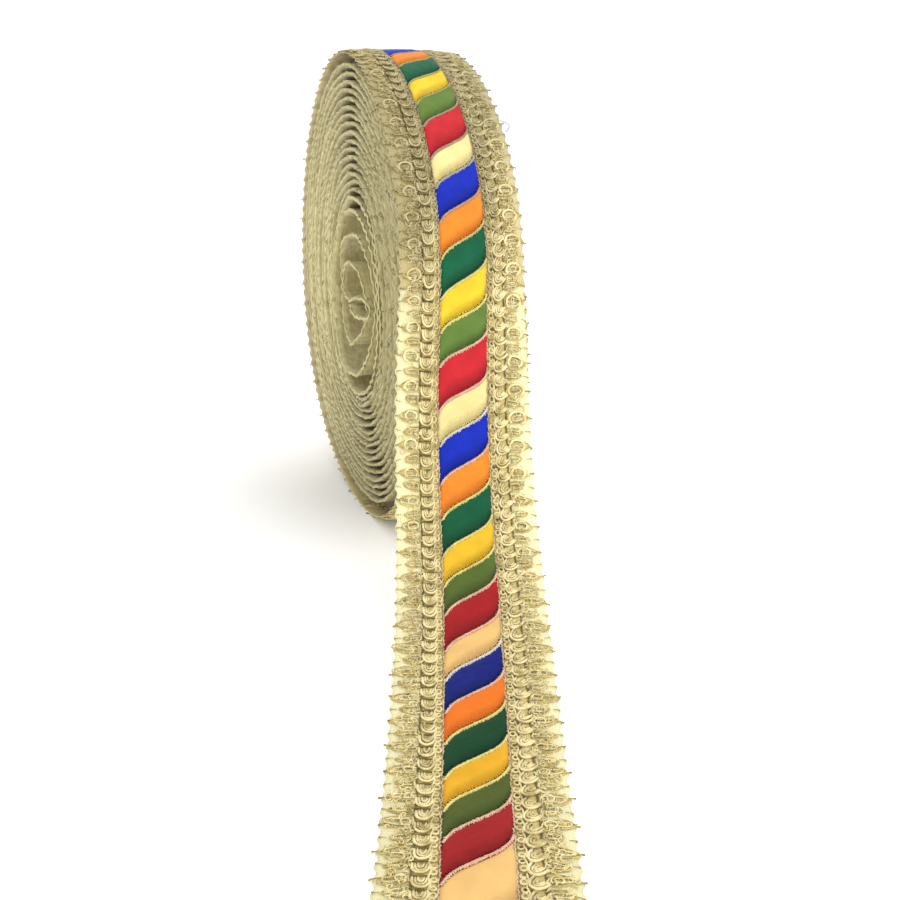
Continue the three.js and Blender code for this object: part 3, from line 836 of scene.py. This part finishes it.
def wound_picots(side):
    """The small loops at the edges of the wound turns."""
    rng = np.random.default_rng(11 + side)
    along = np.arange(6.0, route("wound").along[-1] - 4, trim("tuft_pitch") * 0.9)
    count = len(along)
    along = (along + astray(rng, 2.5, count))[:, None]
    limits = ((0.15, 0.8), (0.9, 1.9), (-0.35, 0.3))
    reach, span, rise = (rng.uniform(*pair, (count, 1)) for pair in limits)
    root = 1.1  # how far in from the edge a loop starts
    t = np.linspace(0, math.pi, 6)
    path_along = along - span * np.cos(t)
    edge = wound_width(along, side) - root + (reach + root) * np.sin(t)
    across = side * edge + PULL * fade(path_along, PULL_ENDS, 0)
    up = wound_ripple(path_along, side) - 0.75 + rise * np.sin(t)
    return threads(places(path_along, across, up), rng.uniform(0.15, 0.25, (count, 1)))


# Net

# Places across the net, as shares of its half width
NET_SHARES = np.array([-1, -0.95, -0.85, -0.75, -0.6, -0.2, 0.2, 0.6, 0.75, 0.85, 0.95, 1])
NET_GAP = 0.3  # between the net of the last turn and that of the loose end
SCALLOP = 0.45  # how far the net's edge swings out and in


def net_edge(along):
    return trim("half_width") + 0.1 + SCALLOP * np.cos(scallops(along))


def net_lot(start, end):
    along = np.linspace(start, end, int((end - start) / (trim("tuft_pitch") / 8)))[:, None]
    upper = places(along, NET_SHARES * net_edge(along), 0)
    return slab(upper, upper - np.array([0, 0, trim("net_thickness")]))


def edge_thread(side):
    """The fine thread that binds the scalloped edge of the net."""
    along = run(0, 0, trim("tuft_pitch") / 10)
    return threads(places(along, side * net_edge(along), -0.1), 0.13)


# Satin band

SATIN_FOOT, SATIN_UNDER = 0.3, 0.06  # heights of a patch at its seams, and of its underside
PATCH_ROWS, PATCH_COLUMNS = 14, 19  # points along and across a patch
PATCH_FROM = 24  # the first patch starts within this distance of the trim's start
PATCH_LATE, PATCH_SHORT = 0.35, 0.5  # how far past its seam a patch starts, and how much shorter it is
PAST_END = 12  # the last patch runs so far past the cut end, where it is cut off
OWN_STITCH_STOP, STITCH_STOP = 8, 10  # no stitches lie nearer to the cut end
PATCH_STITCHES, BORDER_STITCHES = 32, 42  # stitches in the patch's own colour at each seam, and pale ones
STITCH_THICK = 0.22  # half the thickness of a stitch
STITCH_ARCH = ((0, 0.62), (0.5, 1.05), (1, 0.68))  # share of a stitch's length, and its height above the net
BORDER_REACH = (0.735, 1.3125)  # how far past a seam the pale stitches end
SELVEDGE_PITCH = 1.9  # from stitch to stitch along the satin's edges


def seam_spread(seam):
    return 1 + SEAM_SPREAD * fade(seam, 20, 160)


def on_seam(seam, across, off):
    """A place near a seam: off is how far it lies past the seam, square to it."""
    half = trim("satin_half")
    slope = -(SEAM_SLANT + 5 * SEAM_CURVE * (across / half) ** 4) / half * seam_spread(seam)
    size = np.sqrt(1 + slope**2)
    return seam + seam_shift(seam, across) + off / size, np.clip(across - off * slope / size, -half, half)


def seam_shift(seam, across):
    """How far along the trim a seam lies from its middle, at a place across the band."""
    share = across / trim("satin_half")
    return -(SEAM_SLANT * share + SEAM_CURVE * share**5) * seam_spread(seam)


def patch_places():
    """Every patch from the start of the last turn to the cut end: its kind, its seam's place, its length."""
    mean = trim("patch_length")
    rows = []
    seam, i = top_of_roll() + FIRST_SEAM, 0
    while seam > trim_start() + PATCH_FROM:
        i -= 1
        seam -= PATCHES[i % len(PATCHES)][1] * mean
    while seam < trim_end():
        kind = i % len(PATCHES)
        long = PATCHES[kind][1] * mean * (LONG_SHARE if seam > LONG_FROM else 1)
        if trim_end() - seam - long < SHORTEST:
            long = trim_end() - seam + PAST_END
        rows.append((kind, seam, long))
        seam += long
        i += 1
    return rows


def satin_height(u, v):
    """Height of a patch: domed along the trim, and drawn down at its seams and at the band's edges."""
    along = np.clip(1 - np.abs(2 * u - 1) ** 2.4, 0, 1) ** 0.65
    across = np.clip(1 - np.abs(v) ** 5, 0, 1) ** 0.6
    return SATIN_FOOT + (trim("satin_rise") - SATIN_FOOT) * along * (0.35 + 0.65 * across)


def satin_patches(wanted):
    """The padded patches of one colour, each with stitches in its own colour at its lower end."""
    lots = []
    rng = np.random.default_rng(3 + len(wanted))
    u, v = np.meshgrid(np.linspace(0, 1, PATCH_ROWS), np.linspace(-1, 1, PATCH_COLUMNS), indexing="ij")
    from_middle = np.abs(2 * u - 1)
    for i, (kind, seam, long) in enumerate(patch_places()):
        if PATCHES[kind][0] != wanted:
            continue
        across = v * trim("satin_half") * (1 + 0.02 * wander(i, 2.0))
        ragged = 0.16 * wander(across * 2.1, i) * from_middle**6
        along = seam + PATCH_LATE + u * (long - PATCH_SHORT) + ragged
        along = along + (1 - u) * seam_shift(seam, across) + u * seam_shift(seam + long, across)
        along = np.clip(along, None, trim_end())
        crease = 0.1 * wander(along / 1.7 + across / 3.1, i)
        crease = crease + 0.07 * wander(across / 1.3 - along / 2.7, i + 3)
        height = satin_height(u, v) + crease * np.clip(1 - from_middle**3, 0, 1)
        uv = np.stack([u, across * UV_SHARE], axis=-1)
        lots.append(slab(places(along, across, height), places(along, across, SATIN_UNDER), uv))
        if seam + long + OWN_STITCH_STOP < trim_end():
            stitches = stitch_paths(rng, seam + long, PATCH_STITCHES, (-1.4, -0.8), (-0.35, 0.0))
            lots.append(threads(stitches, STITCH_THICK))
    return lots


def stitch_paths(rng, seam, count, begins, ends):
    """Short stitches square to a seam, between two uneven distances from it."""
    half = trim("satin_half")
    middle = np.linspace(-half + 0.3, half - 0.3, count) + astray(rng, 0.12, count)
    begin, end = rng.uniform(*begins, count), rng.uniform(*ends, count)
    path = []
    for share, height in STITCH_ARCH:
        along, across = on_seam(seam, middle, begin + share * (end - begin))
        path.append(places(along, across, height + astray(rng, 0.06, count)))
    return np.stack(path, axis=1)


def seams_before_end():
    return [(kind, seam) for kind, seam, _ in patch_places() if seam + STITCH_STOP < trim_end()]


def seam_stitches(wanted):
    """Close short stitches over the upper end of each patch, square to its seam, and the cord under them."""
    rng = np.random.default_rng(5 + len(wanted))
    seams = [seam for kind, seam in seams_before_end() if PATCHES[kind][2] == wanted]
    stitches = [stitch_paths(rng, seam, BORDER_STITCHES, (-0.35, 0.1), BORDER_REACH) for seam in seams]
    half = trim("satin_half")
    across = np.linspace(-half, half, 21)
    cords = [places(*on_seam(seam, across, 0.34 + 0.1 * wander(across * 2.3, seam)), 0.8) for seam in seams]
    return [threads(np.concatenate(stitches), STITCH_THICK), threads(np.stack(cords), 0.42, 0.16)]


def seam_threads():
    """Painted shadow: dark thread in pieces along the lower end of each patch, standing for the shadow in
    its seam.
    """
    rng = np.random.default_rng(8)
    half, count = trim("satin_half"), 12
    paths = []
    for _, seam in seams_before_end():
        middle = np.linspace(-half + 0.6, half - 0.6, count) + astray(rng, 0.4, count)
        reach, off = rng.uniform(0.25, 0.75, count), rng.uniform(-0.5, -0.15, count)
        path = []
        for share in (-1, 0, 1):
            across = np.clip(middle + share * reach, -half, half)
            path.append(places(*on_seam(seam, across, off + 0.12 * share), 0.86 - 0.14 * abs(share)))
        paths.append(np.stack(path, axis=1))
    return threads(np.concatenate(paths), 0.17)


def selvedge_stitches(side):
    """The row of pale stitches that holds each edge of the satin."""
    along = run(4, 2, SELVEDGE_PITCH)
    count = len(along)
    rng = np.random.default_rng(21 + side)
    section = np.array([(-1.0, -0.3, 0.4), (-0.5, 0, 0.72), (0.2, 0.2, 0.75), (1.05, 0, 0.4)])
    path = (section + (0, trim("satin_half") + 0.1, 0)) * (1, side, 1)
    scale = rng.uniform(0.75, 1.15, count)
    along = along + astray(rng, 0.3, count)
    return threads(copies(path, along, scale, astray(rng, 0.22, count)), 0.26)


# Braids

LOOP_MIDDLE, CURL_MIDDLE, LINE_MIDDLE = 4.15, 1.15, 2.0  # from the braid's inner edge to each row of threads
CUPS = (
    # top, depth and half width of a cup, heights of its ends and its bowl, half the thread's width, points
    (-2.4, 4.3, 2.25, (0.6, 1.0), 0.42, 9),
    (-2.5, 3.3, 1.45, (0.62, 1.0), 0.36, 7),
    (-2.3, 2.2, 0.75, (0.65, 0.95), 0.36, 5),
)
CUP_LEAN = {-1: math.radians(4), 1: math.radians(-34)}  # how far the loops and the bars are turned, by side
BAR_LEAN = {-1: 0.0, 1: math.radians(-30)}
STOUT = {-1: 1.05, 1: 1.15}  # how thick the cups' threads are at each side
BARS = ((2.65, 2.3, 0.24), (3.0, 1.6, 0.18))  # place along a loop, half length, half the thread's width
GROUND_STEP = 1.4  # from station to station along the ground of a braid
PLY_TWIST, PLY_RADIUS, PLY_THICK = 4.0, 0.22, 0.2  # the groove cord: length of a twist, size of its plies


def oval(middle, radii, count, heights):
    """A closed oval of places, at the first height where it starts and at the second on its far side."""
    t = np.arange(count) * ONE_TURN / count
    up = heights[0] + (heights[1] - heights[0]) * (0.5 - 0.5 * np.cos(t))
    return places(middle[0] + radii[0] * np.cos(t), middle[1] + radii[1] * np.sin(t), up)


def cup(top, deep, half, heights, count):
    """An open loop like a cup, whose closed end points along the trim: its place is the cup's middle."""
    t = np.linspace(0, math.pi, count)
    bowl = np.sin(t) ** 0.75
    return places(top + deep * bowl, half * np.cos(t), heights[0] + (heights[1] - heights[0]) * bowl)


def in_braid(path, side, turned):
    """A path about a loop's middle, turned in the trim's own face and moved to the braid's middle."""
    c, s = math.cos(turned), math.sin(turned)
    along, across = path[:, 0] * c - path[:, 1] * s, path[:, 0] * s + path[:, 1] * c
    return places(along, side * (across + trim("braid_inner") + LOOP_MIDDLE), path[:, 2])


def loop_places(first=5.0):
    return run(first, 3, trim("loop_pitch"))


def braid_lots(side):
    """A braid: a row of cup-shaped loops, one in the next, and a row of small curls beside the satin, with a
    waved thread between the two rows. The right braid's loops are chunkier and lean."""
    rng = np.random.default_rng(31 + side)
    pitch, inner = trim("loop_pitch"), trim("braid_inner")
    along = loop_places()
    count = len(along)
    wobble = astray(rng, 0.28, count)
    lots = []
    for top, deep, half, heights, wide, stations in CUPS:
        path = in_braid(cup(top, deep, half, heights, stations), side, CUP_LEAN[side])
        size = rng.uniform(0.86, 1.08, count)
        placed = copies(path, along + astray(rng, 0.2, count), size, wobble, astray(rng, 0.16, count))
        placed[..., 0] += astray(rng, 0.1, placed.shape[:2])
        wide = wide * STOUT[side] * rng.uniform(0.85, 1.1, (count, 1))
        lots.append(threads(placed, wide, 0.34 * STOUT[side], 6 if stations > 7 else 4))
    curl = oval((0, side * (inner + CURL_MIDDLE)), (1.25, 0.85), 7, (0.95, 0.65))
    small = run(4, 2, pitch / 2)
    small = small + astray(rng, 0.35, len(small))
    shift = astray(rng, 0.2, len(small))
    lots.append(threads(copies(curl, small, rng.uniform(0.7, 1.1, len(small)), shift), 0.33, closed=True))
    line = run(0, 0, pitch / 6)
    wave = 0.3 * np.sin(ONE_TURN * line / pitch) + 0.12 * wander(line / 2.1, side)
    up = 0.85 + 0.15 * np.cos(ONE_TURN * line / pitch)
    lots.append(threads(places(line, side * (inner + LINE_MIDDLE + wave), up), 0.27))
    return lots


def braid_bars(side):
    """The dark bars between the loops of a braid, and at the right dark thread pieces that paint shade into
    the holes beside its curls.
    """
    rng = np.random.default_rng(36 + side)
    lots = []
    for at, reach, wide in BARS:
        along = loop_places()
        path = places(at, np.linspace(-reach, reach, 5), [0.55, 0.75, 0.8, 0.75, 0.55])
        size = rng.uniform(0.9, 1.1, len(along))
        placed = copies(in_braid(path, side, BAR_LEAN[side]), along, size, astray(rng, 0.3, len(along)))
        placed[..., 0] += astray(rng, 0.22, placed.shape[:2])
        lots.append(threads(placed, wide))
    if side > 0:
        along = loop_places(6.4)
        line = trim("braid_inner") + LINE_MIDDLE
        # painted shade: dark thread pieces in the holes beside the curls
        hole_shade = [(-0.5, line + 0.1, 0.75), (0, line, 0.95), (0.55, line + 0.3, 0.75)]
        size = rng.uniform(0.7, 1.3, len(along))
        lots.append(threads(copies(hole_shade, along, size, astray(rng, 0.4, len(along))), 0.42))
    return lots


def braid_ground(side):
    """The close-worked strip under a braid."""
    along = run(0, 0, GROUND_STEP)[:, None]
    inner, outer = trim("braid_inner"), trim("braid_outer")
    across = side * np.array([inner - 0.2, inner + 1.5, inner + 3.2, inner + 4.8, outer + 0.2])[::side]
    heights = np.array([0.3, 0.52, 0.46, 0.52, 0.3])
    upper = places(along, across, heights + 0.12 * wander(along / 1.1, across))
    return slab(upper, places(along, across, 0.03))


def groove_cord(side):
    """The dark two-ply cord between a braid and its tufts."""
    along = run(0, 0, PLY_TWIST / 4)
    middle = (trim("braid_outer") + trim("tuft_root")) / 2 + 0.22 * wander(along / 6, side)
    lots = []
    for ply in (0, math.pi):
        turn = ONE_TURN * along / PLY_TWIST + ply
        path = places(along, side * (middle + PLY_RADIUS * np.cos(turn)), 0.42 + PLY_RADIUS * np.sin(turn))
        lots.append(threads(path, PLY_THICK))
    return lots


# Tufts

TUFTS = ((0.97, 2.75), (0.72, 2.2))  # the large and the small: share of the full reach, half width
RIM_UP, VEIN_UP, RING_UP, PAD_UP = 0.45, 0.62, 0.75, 0.2  # heights of the tufts' threads above the net
ZIG_UP, ZIG_DROP = 0.82, 0.3  # height of the zigzag at the tuft's root, and its drop to the tip
FRAY = 0.3  # how far the threads of the tufts stray
FILLING_STEPS = (0.64, 1.1)  # between the small arcs of thread, in the light layer and in the darker one
PICOTS = ((-1.3, 1.45, 0.2), (-1.8, 0.3, 0.13))  # start and end out from the net's edge, half thickness
PICOT_SHARES, PICOT_KNOT = np.array([0, 0.3, 0.6, 0.8, 0.92, 1.0]), np.array([0.8, 0.9, 1.0, 1.6, 2.1, 0.9])
FLATTER = {-1: 0.7, 1: 0.2}  # how much shorter the picots are where the loose end begins
SHADE_PADS = ((0, 8.2, 2.0), (1, 5.6, 1.3))  # large or small tuft, reach and half width of its dark pad


def tuft_places(part):
    """Places of the large tufts, part 0, or of the small ones between them, part 1."""
    pitch = trim("tuft_pitch")
    return run(6 + part * pitch / 2, 3, pitch)


def leaf_taper(share):
    return np.sqrt(np.clip(1 - share**2.2, 0, 1)) * (0.7 + 0.3 * np.sin(math.pi * share))


def leaf_places(along, side, size, lean, off_middle, share):
    """Places of leaf-shaped tufts, whose size is a reach and a half width: share of the reach, and how far
    off the middle as a share of the half width."""
    reach, half = size
    across = trim("tuft_root") - 0.2 + share * reach[:, None]
    off = off_middle * half[:, None] * leaf_taper(share) + lean[:, None] * share**2
    return places(along[:, None] + off, side * across, 0.0)


def tuft_lots(side):
    """A row of leaf-shaped tufts, large and small in turn: an inner line, a ring on each large one and a
    zigzag of thread. Their dark outlines are a list of their own."""
    rng = np.random.default_rng(41 + side)
    full = trim("tuft_tip") - trim("tuft_root")
    lots, dark = [], []
    for part, (reach_share, half) in enumerate(TUFTS):
        along = tuft_places(part)
        count = len(along)
        along = along + astray(rng, 0.5, count)
        reach = full * reach_share * rng.uniform(0.84, 1.05, count) * (1 - 0.12 * where_loose_starts(along))
        size = (reach, half * rng.uniform(0.75, 1.15, count))
        lean = astray(rng, 1.1, count)
        t = np.linspace(0, math.pi, 13)
        rim = leaf_places(along, side, size, lean, -np.sign(np.cos(t)), np.sin(t) ** 0.8)
        rim[..., 2] = RIM_UP + rng.uniform(-0.1, 0.12, rim.shape[:2])
        rim[..., 0] += astray(rng, FRAY, rim.shape[:2])
        rim[..., 1] += astray(rng, FRAY, rim.shape[:2])
        dark.append(threads(rim, rng.uniform(0.16, 0.3, (count, 1))))
        t = np.linspace(0.12, math.pi - 0.12, 9)
        vein = leaf_places(along, side, size, lean, -0.45 * np.sign(np.cos(t)), 0.86 * np.sin(t) ** 0.8)
        vein[..., 2] = VEIN_UP + astray(rng, 0.1, vein.shape[:2])
        vein[..., :2] += astray(rng, FRAY, (*vein.shape[:2], 2))
        lots.append(threads(vein, 0.22))
        if part == 0:
            t = np.linspace(0.5, ONE_TURN - 0.8, 10)
            widest = 1.38 + 0.09 * side - 0.65 * fade(along, 50, 140)
            wide = rng.uniform(0.85, 1.1, (count, 1)) * widest[:, None]
            ring_along = along[:, None] + 1.75 * wide * np.cos(t) + astray(rng, 0.2, (count, len(t)))
            ring_across = trim("tuft_root") + 0.8 + 1.95 * wide * (1 + np.sin(t))
            lots.append(threads(places(ring_along, side * ring_across, RING_UP), 0.34 * wide, 0.3))
        zig = np.linspace(0.04, 0.9, 10)
        zigzag = leaf_places(along, side, size, lean, 0.75 * np.tile([1, -1], 5), zig)
        zigzag[..., :2] += astray(rng, 1.5 * FRAY, (*zigzag.shape[:2], 2))
        zigzag[..., 2] = ZIG_UP - ZIG_DROP * zig
        lots.append(threads(zigzag, 0.22))
    return lots, dark


def tuft_shade(side):
    """The darker pads within the tufts."""
    rng = np.random.default_rng(45 + side)
    lots = []
    for part, reach, half in SHADE_PADS:
        along = tuft_places(part)
        count = len(along)
        size = (reach * rng.uniform(0.7, 1.05, count), half * rng.uniform(0.5, 1.2, count))
        share = np.linspace(0.15, 0.98, 5)
        pad = leaf_places(along, side, size, astray(rng, 0.9, count), 0, share)
        pad[..., 2] = PAD_UP
        lots.append(threads(pad, size[1][:, None] * leaf_taper(share) + 0.1, 0.22))
    return lots


def tuft_filling(side, layer):
    """Small arcs of thread all over the roots of the tufts, fewer where the loose end leaves the roll."""
    rng = np.random.default_rng(61 + side + 7 * layer)
    along = run(3, 2, FILLING_STEPS[layer])
    along = along[rng.uniform(0, 1, len(along)) > 0.62 * where_loose_starts(along)]
    count = len(along)
    in_large_tuft = 0.5 + 0.5 * np.cos(ONE_TURN * (along - tuft_places(0)[0]) / trim("tuft_pitch"))
    out = trim("tuft_root") + 0.2 + (4.8 + 2.6 * in_large_tuft) * rng.uniform(0, 1, count) ** 1.3
    size, turned = rng.uniform(0.5, 1.3, (count, 1)), rng.uniform(0, ONE_TURN, (count, 1))
    t = np.linspace(0, rng.uniform(2.2, 4.2, count), 5, axis=1) + turned
    up = rng.uniform(0.35, 0.85, (count, 1)) + astray(rng, 0.08, (count, 5))
    path = places(along[:, None] + size * np.cos(t), side * (out[:, None] + 0.85 * size * np.sin(t)), up)
    return threads(path, rng.uniform(0.17, 0.26, (count, 1)))


def picot_lots(side):
    """The dark thread at the tip of each tuft: it crosses the net and ends in a small knot past the edge."""
    rng = np.random.default_rng(51 + side)
    share = PICOT_SHARES
    lots = []
    for part, (begin, past, thick) in enumerate(PICOTS):
        along = tuft_places(part)
        count = len(along)
        along = along + astray(rng, 0.4, count)
        bend = astray(rng, 0.9, (count, 1))
        reach = past * rng.uniform(0.45, 1.2, count) * (1 - FLATTER[side] * where_loose_starts(along))
        across = side * (trim("half_width") + begin + share * (reach - begin)[:, None])
        path = places(along[:, None] + bend * share**2, across, 0.3 + 0.15 * np.sin(math.pi * share))
        lots.append(threads(path, thick * PICOT_KNOT))
    return lots


def stray_thread():
    """A loose thread that stands off the right edge, high on the front of the roll."""
    t = np.linspace(0, 1, 9)
    return threads(places(-78 + 7 * t, 24 + 4.2 * np.sin(2.6 * t), 0.4 + 2.2 * t * (1 - t)), 0.13)


# Operators


class LACE_OT_wound_turns(bpy.types.Operator):
    """Models the wound turns, with the curled inner end"""

    bl_idname = "lace.wound_turns"
    bl_label = "Wound Turns"

    def execute(self, context):
        lot, tones = wound_turns()
        add_piece("wound_turns", [lot], "wound_edges", "wound", ["wound_roll"], tones)
        return {"FINISHED"}


class LACE_OT_wound_picots(bpy.types.Operator):
    """Models the small loops at the edges of the wound turns"""

    bl_idname = "lace.wound_picots"
    bl_label = "Edge Loops of the Turns"

    def execute(self, context):
        for name, side in SIDES:
            add_piece(f"wound_picots_{name}", [wound_picots(side)], "wound_thread", "wound")
            add_piece(f"wound_hem_{name}", [hem(side)], "hem_thread", "wound")
        return {"FINISHED"}


class LACE_OT_net(bpy.types.Operator):
    """Models the sheer net of the last turn and of the loose end"""

    bl_idname = "lace.net"
    bl_label = "Net"

    def execute(self, context):
        add_piece("last_turn_net", [net_lot(trim_start(), 0.0)], "sheer_net_on_roll")
        node = ["loose_tape"]
        loose = add_piece("loose_net", [net_lot(NET_GAP, trim_end())], "sheer_net", replaces=node)
        for name, side in SIDES:
            add_piece(f"net_edge_{name}", [edge_thread(side)], "net_edge_thread")
        return {"FINISHED"}


class LACE_OT_satin(bpy.types.Operator):
    """Models the padded satin patches, one piece for each colour, and their stitches"""

    bl_idname = "lace.satin"
    bl_label = "Satin Patches"

    def execute(self, context):
        node = ["loose_patch_band"]
        for name, _, _ in PATCHES:
            lots = satin_patches(name)
            # painted light: the satin's tone is its share of painted brightness, full on the roll and fading
            # out down the loose end
            on_roll = fade(np.concatenate([points[:, 0] for points, _, _ in lots]), 155, 55)
            add_piece(f"satin_{name}", lots, f"satin_{name}", replaces=node, tones=on_roll)
        for name in ("yellow", "pink", "white"):
            add_piece(f"seam_stitches_{name}", seam_stitches(name), f"stitch_{name}")
        # painted shadow: dark thread pieces along each seam
        add_piece("seam_threads", [seam_threads()], "seam_shade")
        for name, side in SIDES:
            add_piece(f"satin_selvedge_{name}", [selvedge_stitches(side)], "selvedge_thread")
        return {"FINISHED"}


class LACE_OT_braids(bpy.types.Operator):
    """Models the two looped braids and the cord beside each"""

    bl_idname = "lace.braids"
    bl_label = "Braids"

    def execute(self, context):
        for name, side in SIDES:
            node = [f"loose_braid_{name}"]
            add_piece(f"braid_{name}", braid_lots(side), "braid_thread", replaces=node)
            add_piece(f"braid_ground_{name}", [braid_ground(side)], "braid_ground")
            add_piece(f"braid_bars_{name}", braid_bars(side), "groove_cord")
            add_piece(f"groove_cord_{name}", groove_cord(side), "groove_cord")
        return {"FINISHED"}


class LACE_OT_tufts(bpy.types.Operator):
    """Models the two rows of tufts and the picots at their tips"""

    bl_idname = "lace.tufts"
    bl_label = "Tufts"

    def execute(self, context):
        for name, side in SIDES:
            lines, rims = tuft_lots(side)
            node = [f"loose_tufts_{name}"]
            add_piece(f"tufts_{name}", lines, "tuft_thread", replaces=node)
            add_piece(f"tuft_rims_{name}", rims, "tuft_rim")
            add_piece(f"tuft_shade_{name}", tuft_shade(side), "tuft_shade")
            add_piece(f"tuft_filling_{name}", [tuft_filling(side, 0)], "tuft_thread")
            add_piece(f"tuft_knots_{name}", [tuft_filling(side, 1)], "tuft_shade")
            ends = picot_lots(side) + ([stray_thread()] if side > 0 else [])
            add_piece(f"picots_{name}", ends, "picot_thread")
        return {"FINISHED"}


# The camera stands where the photograph was taken from
CAMERA_PLACE = (-0.1522, -0.5248, 0.1783)
CAMERA_LENS = 48.0
CAMERA_DOWN = math.radians(15.753)
CAMERA_RIGHT = math.radians(18.107)
CAMERA_ROLL = math.radians(0.688)
LIGHTS = (
    # kind, name, place, aim, power, and what sets its softness
    ("SUN", "soft_sun", (0.5, -0.6, 1.5), (0, 0, 0), 0.78, "angle", math.radians(55)),
    ("AREA", "front_light", (0.35, -1.15, 0.45), (0, -0.05, 0.12), 2.2, "size", 0.8),
)
GLOW = {"From Min": 0.2, "From Max": 0.7, "To Min": 0.99, "To Max": 1.1}  # the sky is brighter at the back


class LACE_OT_stage(bpy.types.Operator):
    """Sets up the pale floor, which glows as painted light that washes out cast shadows away from the roll's
    foot, the soft light and the camera
    """

    bl_idname = "lace.stage"
    bl_label = "Stage"

    def execute(self, context):
        bpy.ops.object.select_all(action="DESELECT")
        bpy.ops.mesh.primitive_plane_add(size=8, location=(0, 0, 0))
        floor = context.object
        floor.name = "floor"
        s = Shader("pale_floor")
        tone = s.ramp(s.noise(s.place(), 3, 2), 0.0, 1.0)
        s.set(base_color=s.blend(tone, (0.93, 0.93, 0.93), (0.96, 0.96, 0.96)), roughness=0.95)
        # painted light: the floor glows, least near the roll's foot so that the contact shadow stays, and
        # more further out, where the glow washes out the cast shadows
        foot = (-0.02, CENTRE_Y * MM, 0)
        far = s.node("ShaderNodeVectorMath", {0: s.place(), 1: foot}, operation="DISTANCE")
        s.set(emission_color=(1, 1, 1, 1))
        s.set(emission_strength=s.math("MULTIPLY", s.ramp(far.outputs["Value"], 0.02, 0.1), 0.22))
        floor.data.materials.append(s.material)

        world = bpy.data.worlds.new("studio")
        context.scene.world = world
        world.use_nodes = True
        tree = world.node_tree
        toward = tree.nodes.new("ShaderNodeTexCoord")
        parts = tree.nodes.new("ShaderNodeSeparateXYZ")
        glow = tree.nodes.new("ShaderNodeMapRange")
        for key, value in GLOW.items():
            glow.inputs[key].default_value = value
        tree.links.new(toward.outputs["Generated"], parts.inputs[0])
        tree.links.new(parts.outputs["Y"], glow.inputs["Value"])
        tree.links.new(glow.outputs[0], tree.nodes["Background"].inputs["Strength"])
        tree.nodes["Background"].inputs["Color"].default_value = (1, 1, 1, 1)
        for kind, name, place, aim, power, softness, amount in LIGHTS:
            bpy.ops.object.light_add(type=kind, location=place)
            light = context.object
            light.name = name
            light.data.energy = power
            setattr(light.data, softness, amount)
            light.rotation_euler = (Vector(aim) - light.location).to_track_quat("-Z", "Y").to_euler()

        bpy.ops.object.camera_add(location=CAMERA_PLACE)
        camera = context.object
        camera.name = "camera"
        level = Vector((math.cos(CAMERA_RIGHT), -math.sin(CAMERA_RIGHT), 0))
        ahead = Vector((math.sin(CAMERA_RIGHT), math.cos(CAMERA_RIGHT), 0)) * math.cos(CAMERA_DOWN)
        ahead.z = -math.sin(CAMERA_DOWN)
        upright = level.cross(ahead)
        across = level * math.cos(CAMERA_ROLL) + upright * math.sin(CAMERA_ROLL)
        above = upright * math.cos(CAMERA_ROLL) - level * math.sin(CAMERA_ROLL)
        turned = Matrix((across, above, -ahead)).transposed().to_4x4()
        camera.matrix_world = Matrix.Translation(Vector(CAMERA_PLACE)) @ turned
        camera.data.lens = CAMERA_LENS
        camera.data.clip_start = 0.01
        context.scene.camera = camera
        context.scene.view_settings.view_transform = "Standard"
        return {"FINISHED"}


OPERATORS = (
    LACE_OT_stage,
    LACE_OT_wound_turns,
    LACE_OT_wound_picots,
    LACE_OT_net,
    LACE_OT_satin,
    LACE_OT_braids,
    LACE_OT_tufts,
)


class LACE_PT_sidebar(bpy.types.Panel):
    bl_label = "Lace Trim"
    bl_idname = "LACE_PT_sidebar"
    bl_space_type = "VIEW_3D"
    bl_region_type = "UI"
    bl_category = "Lace Trim"

    def draw(self, context):
        for group in (context.scene.lace_trim, context.scene.lace_roll, context.scene.lace_colours):
            box = self.layout.box()
            for key in group.bl_rna.properties.keys():
                if key not in ("rna_type", "name"):
                    box.prop(group, key)
        for operator in OPERATORS:
            self.layout.operator(operator.bl_idname)


CLASSES = (TrimSizes, RollSizes, TrimColours, *OPERATORS, LACE_PT_sidebar)


def register():
    for made in CLASSES:
        bpy.utils.register_class(made)
    bpy.types.Scene.lace_trim = PointerProperty(type=TrimSizes)
    bpy.types.Scene.lace_roll = PointerProperty(type=RollSizes)
    bpy.types.Scene.lace_colours = PointerProperty(type=TrimColours)


def unregister():
    del bpy.types.Scene.lace_trim, bpy.types.Scene.lace_roll, bpy.types.Scene.lace_colours
    for made in reversed(CLASSES):
        bpy.utils.unregister_class(made)


def main():
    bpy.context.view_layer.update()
    register()
    bpy.ops.lace.stage()
    bpy.ops.lace.wound_turns()
    bpy.ops.lace.wound_picots()
    bpy.ops.lace.net()
    bpy.ops.lace.satin()
    bpy.ops.lace.braids()
    bpy.ops.lace.tufts()


if __name__ == "__main__":
    main()
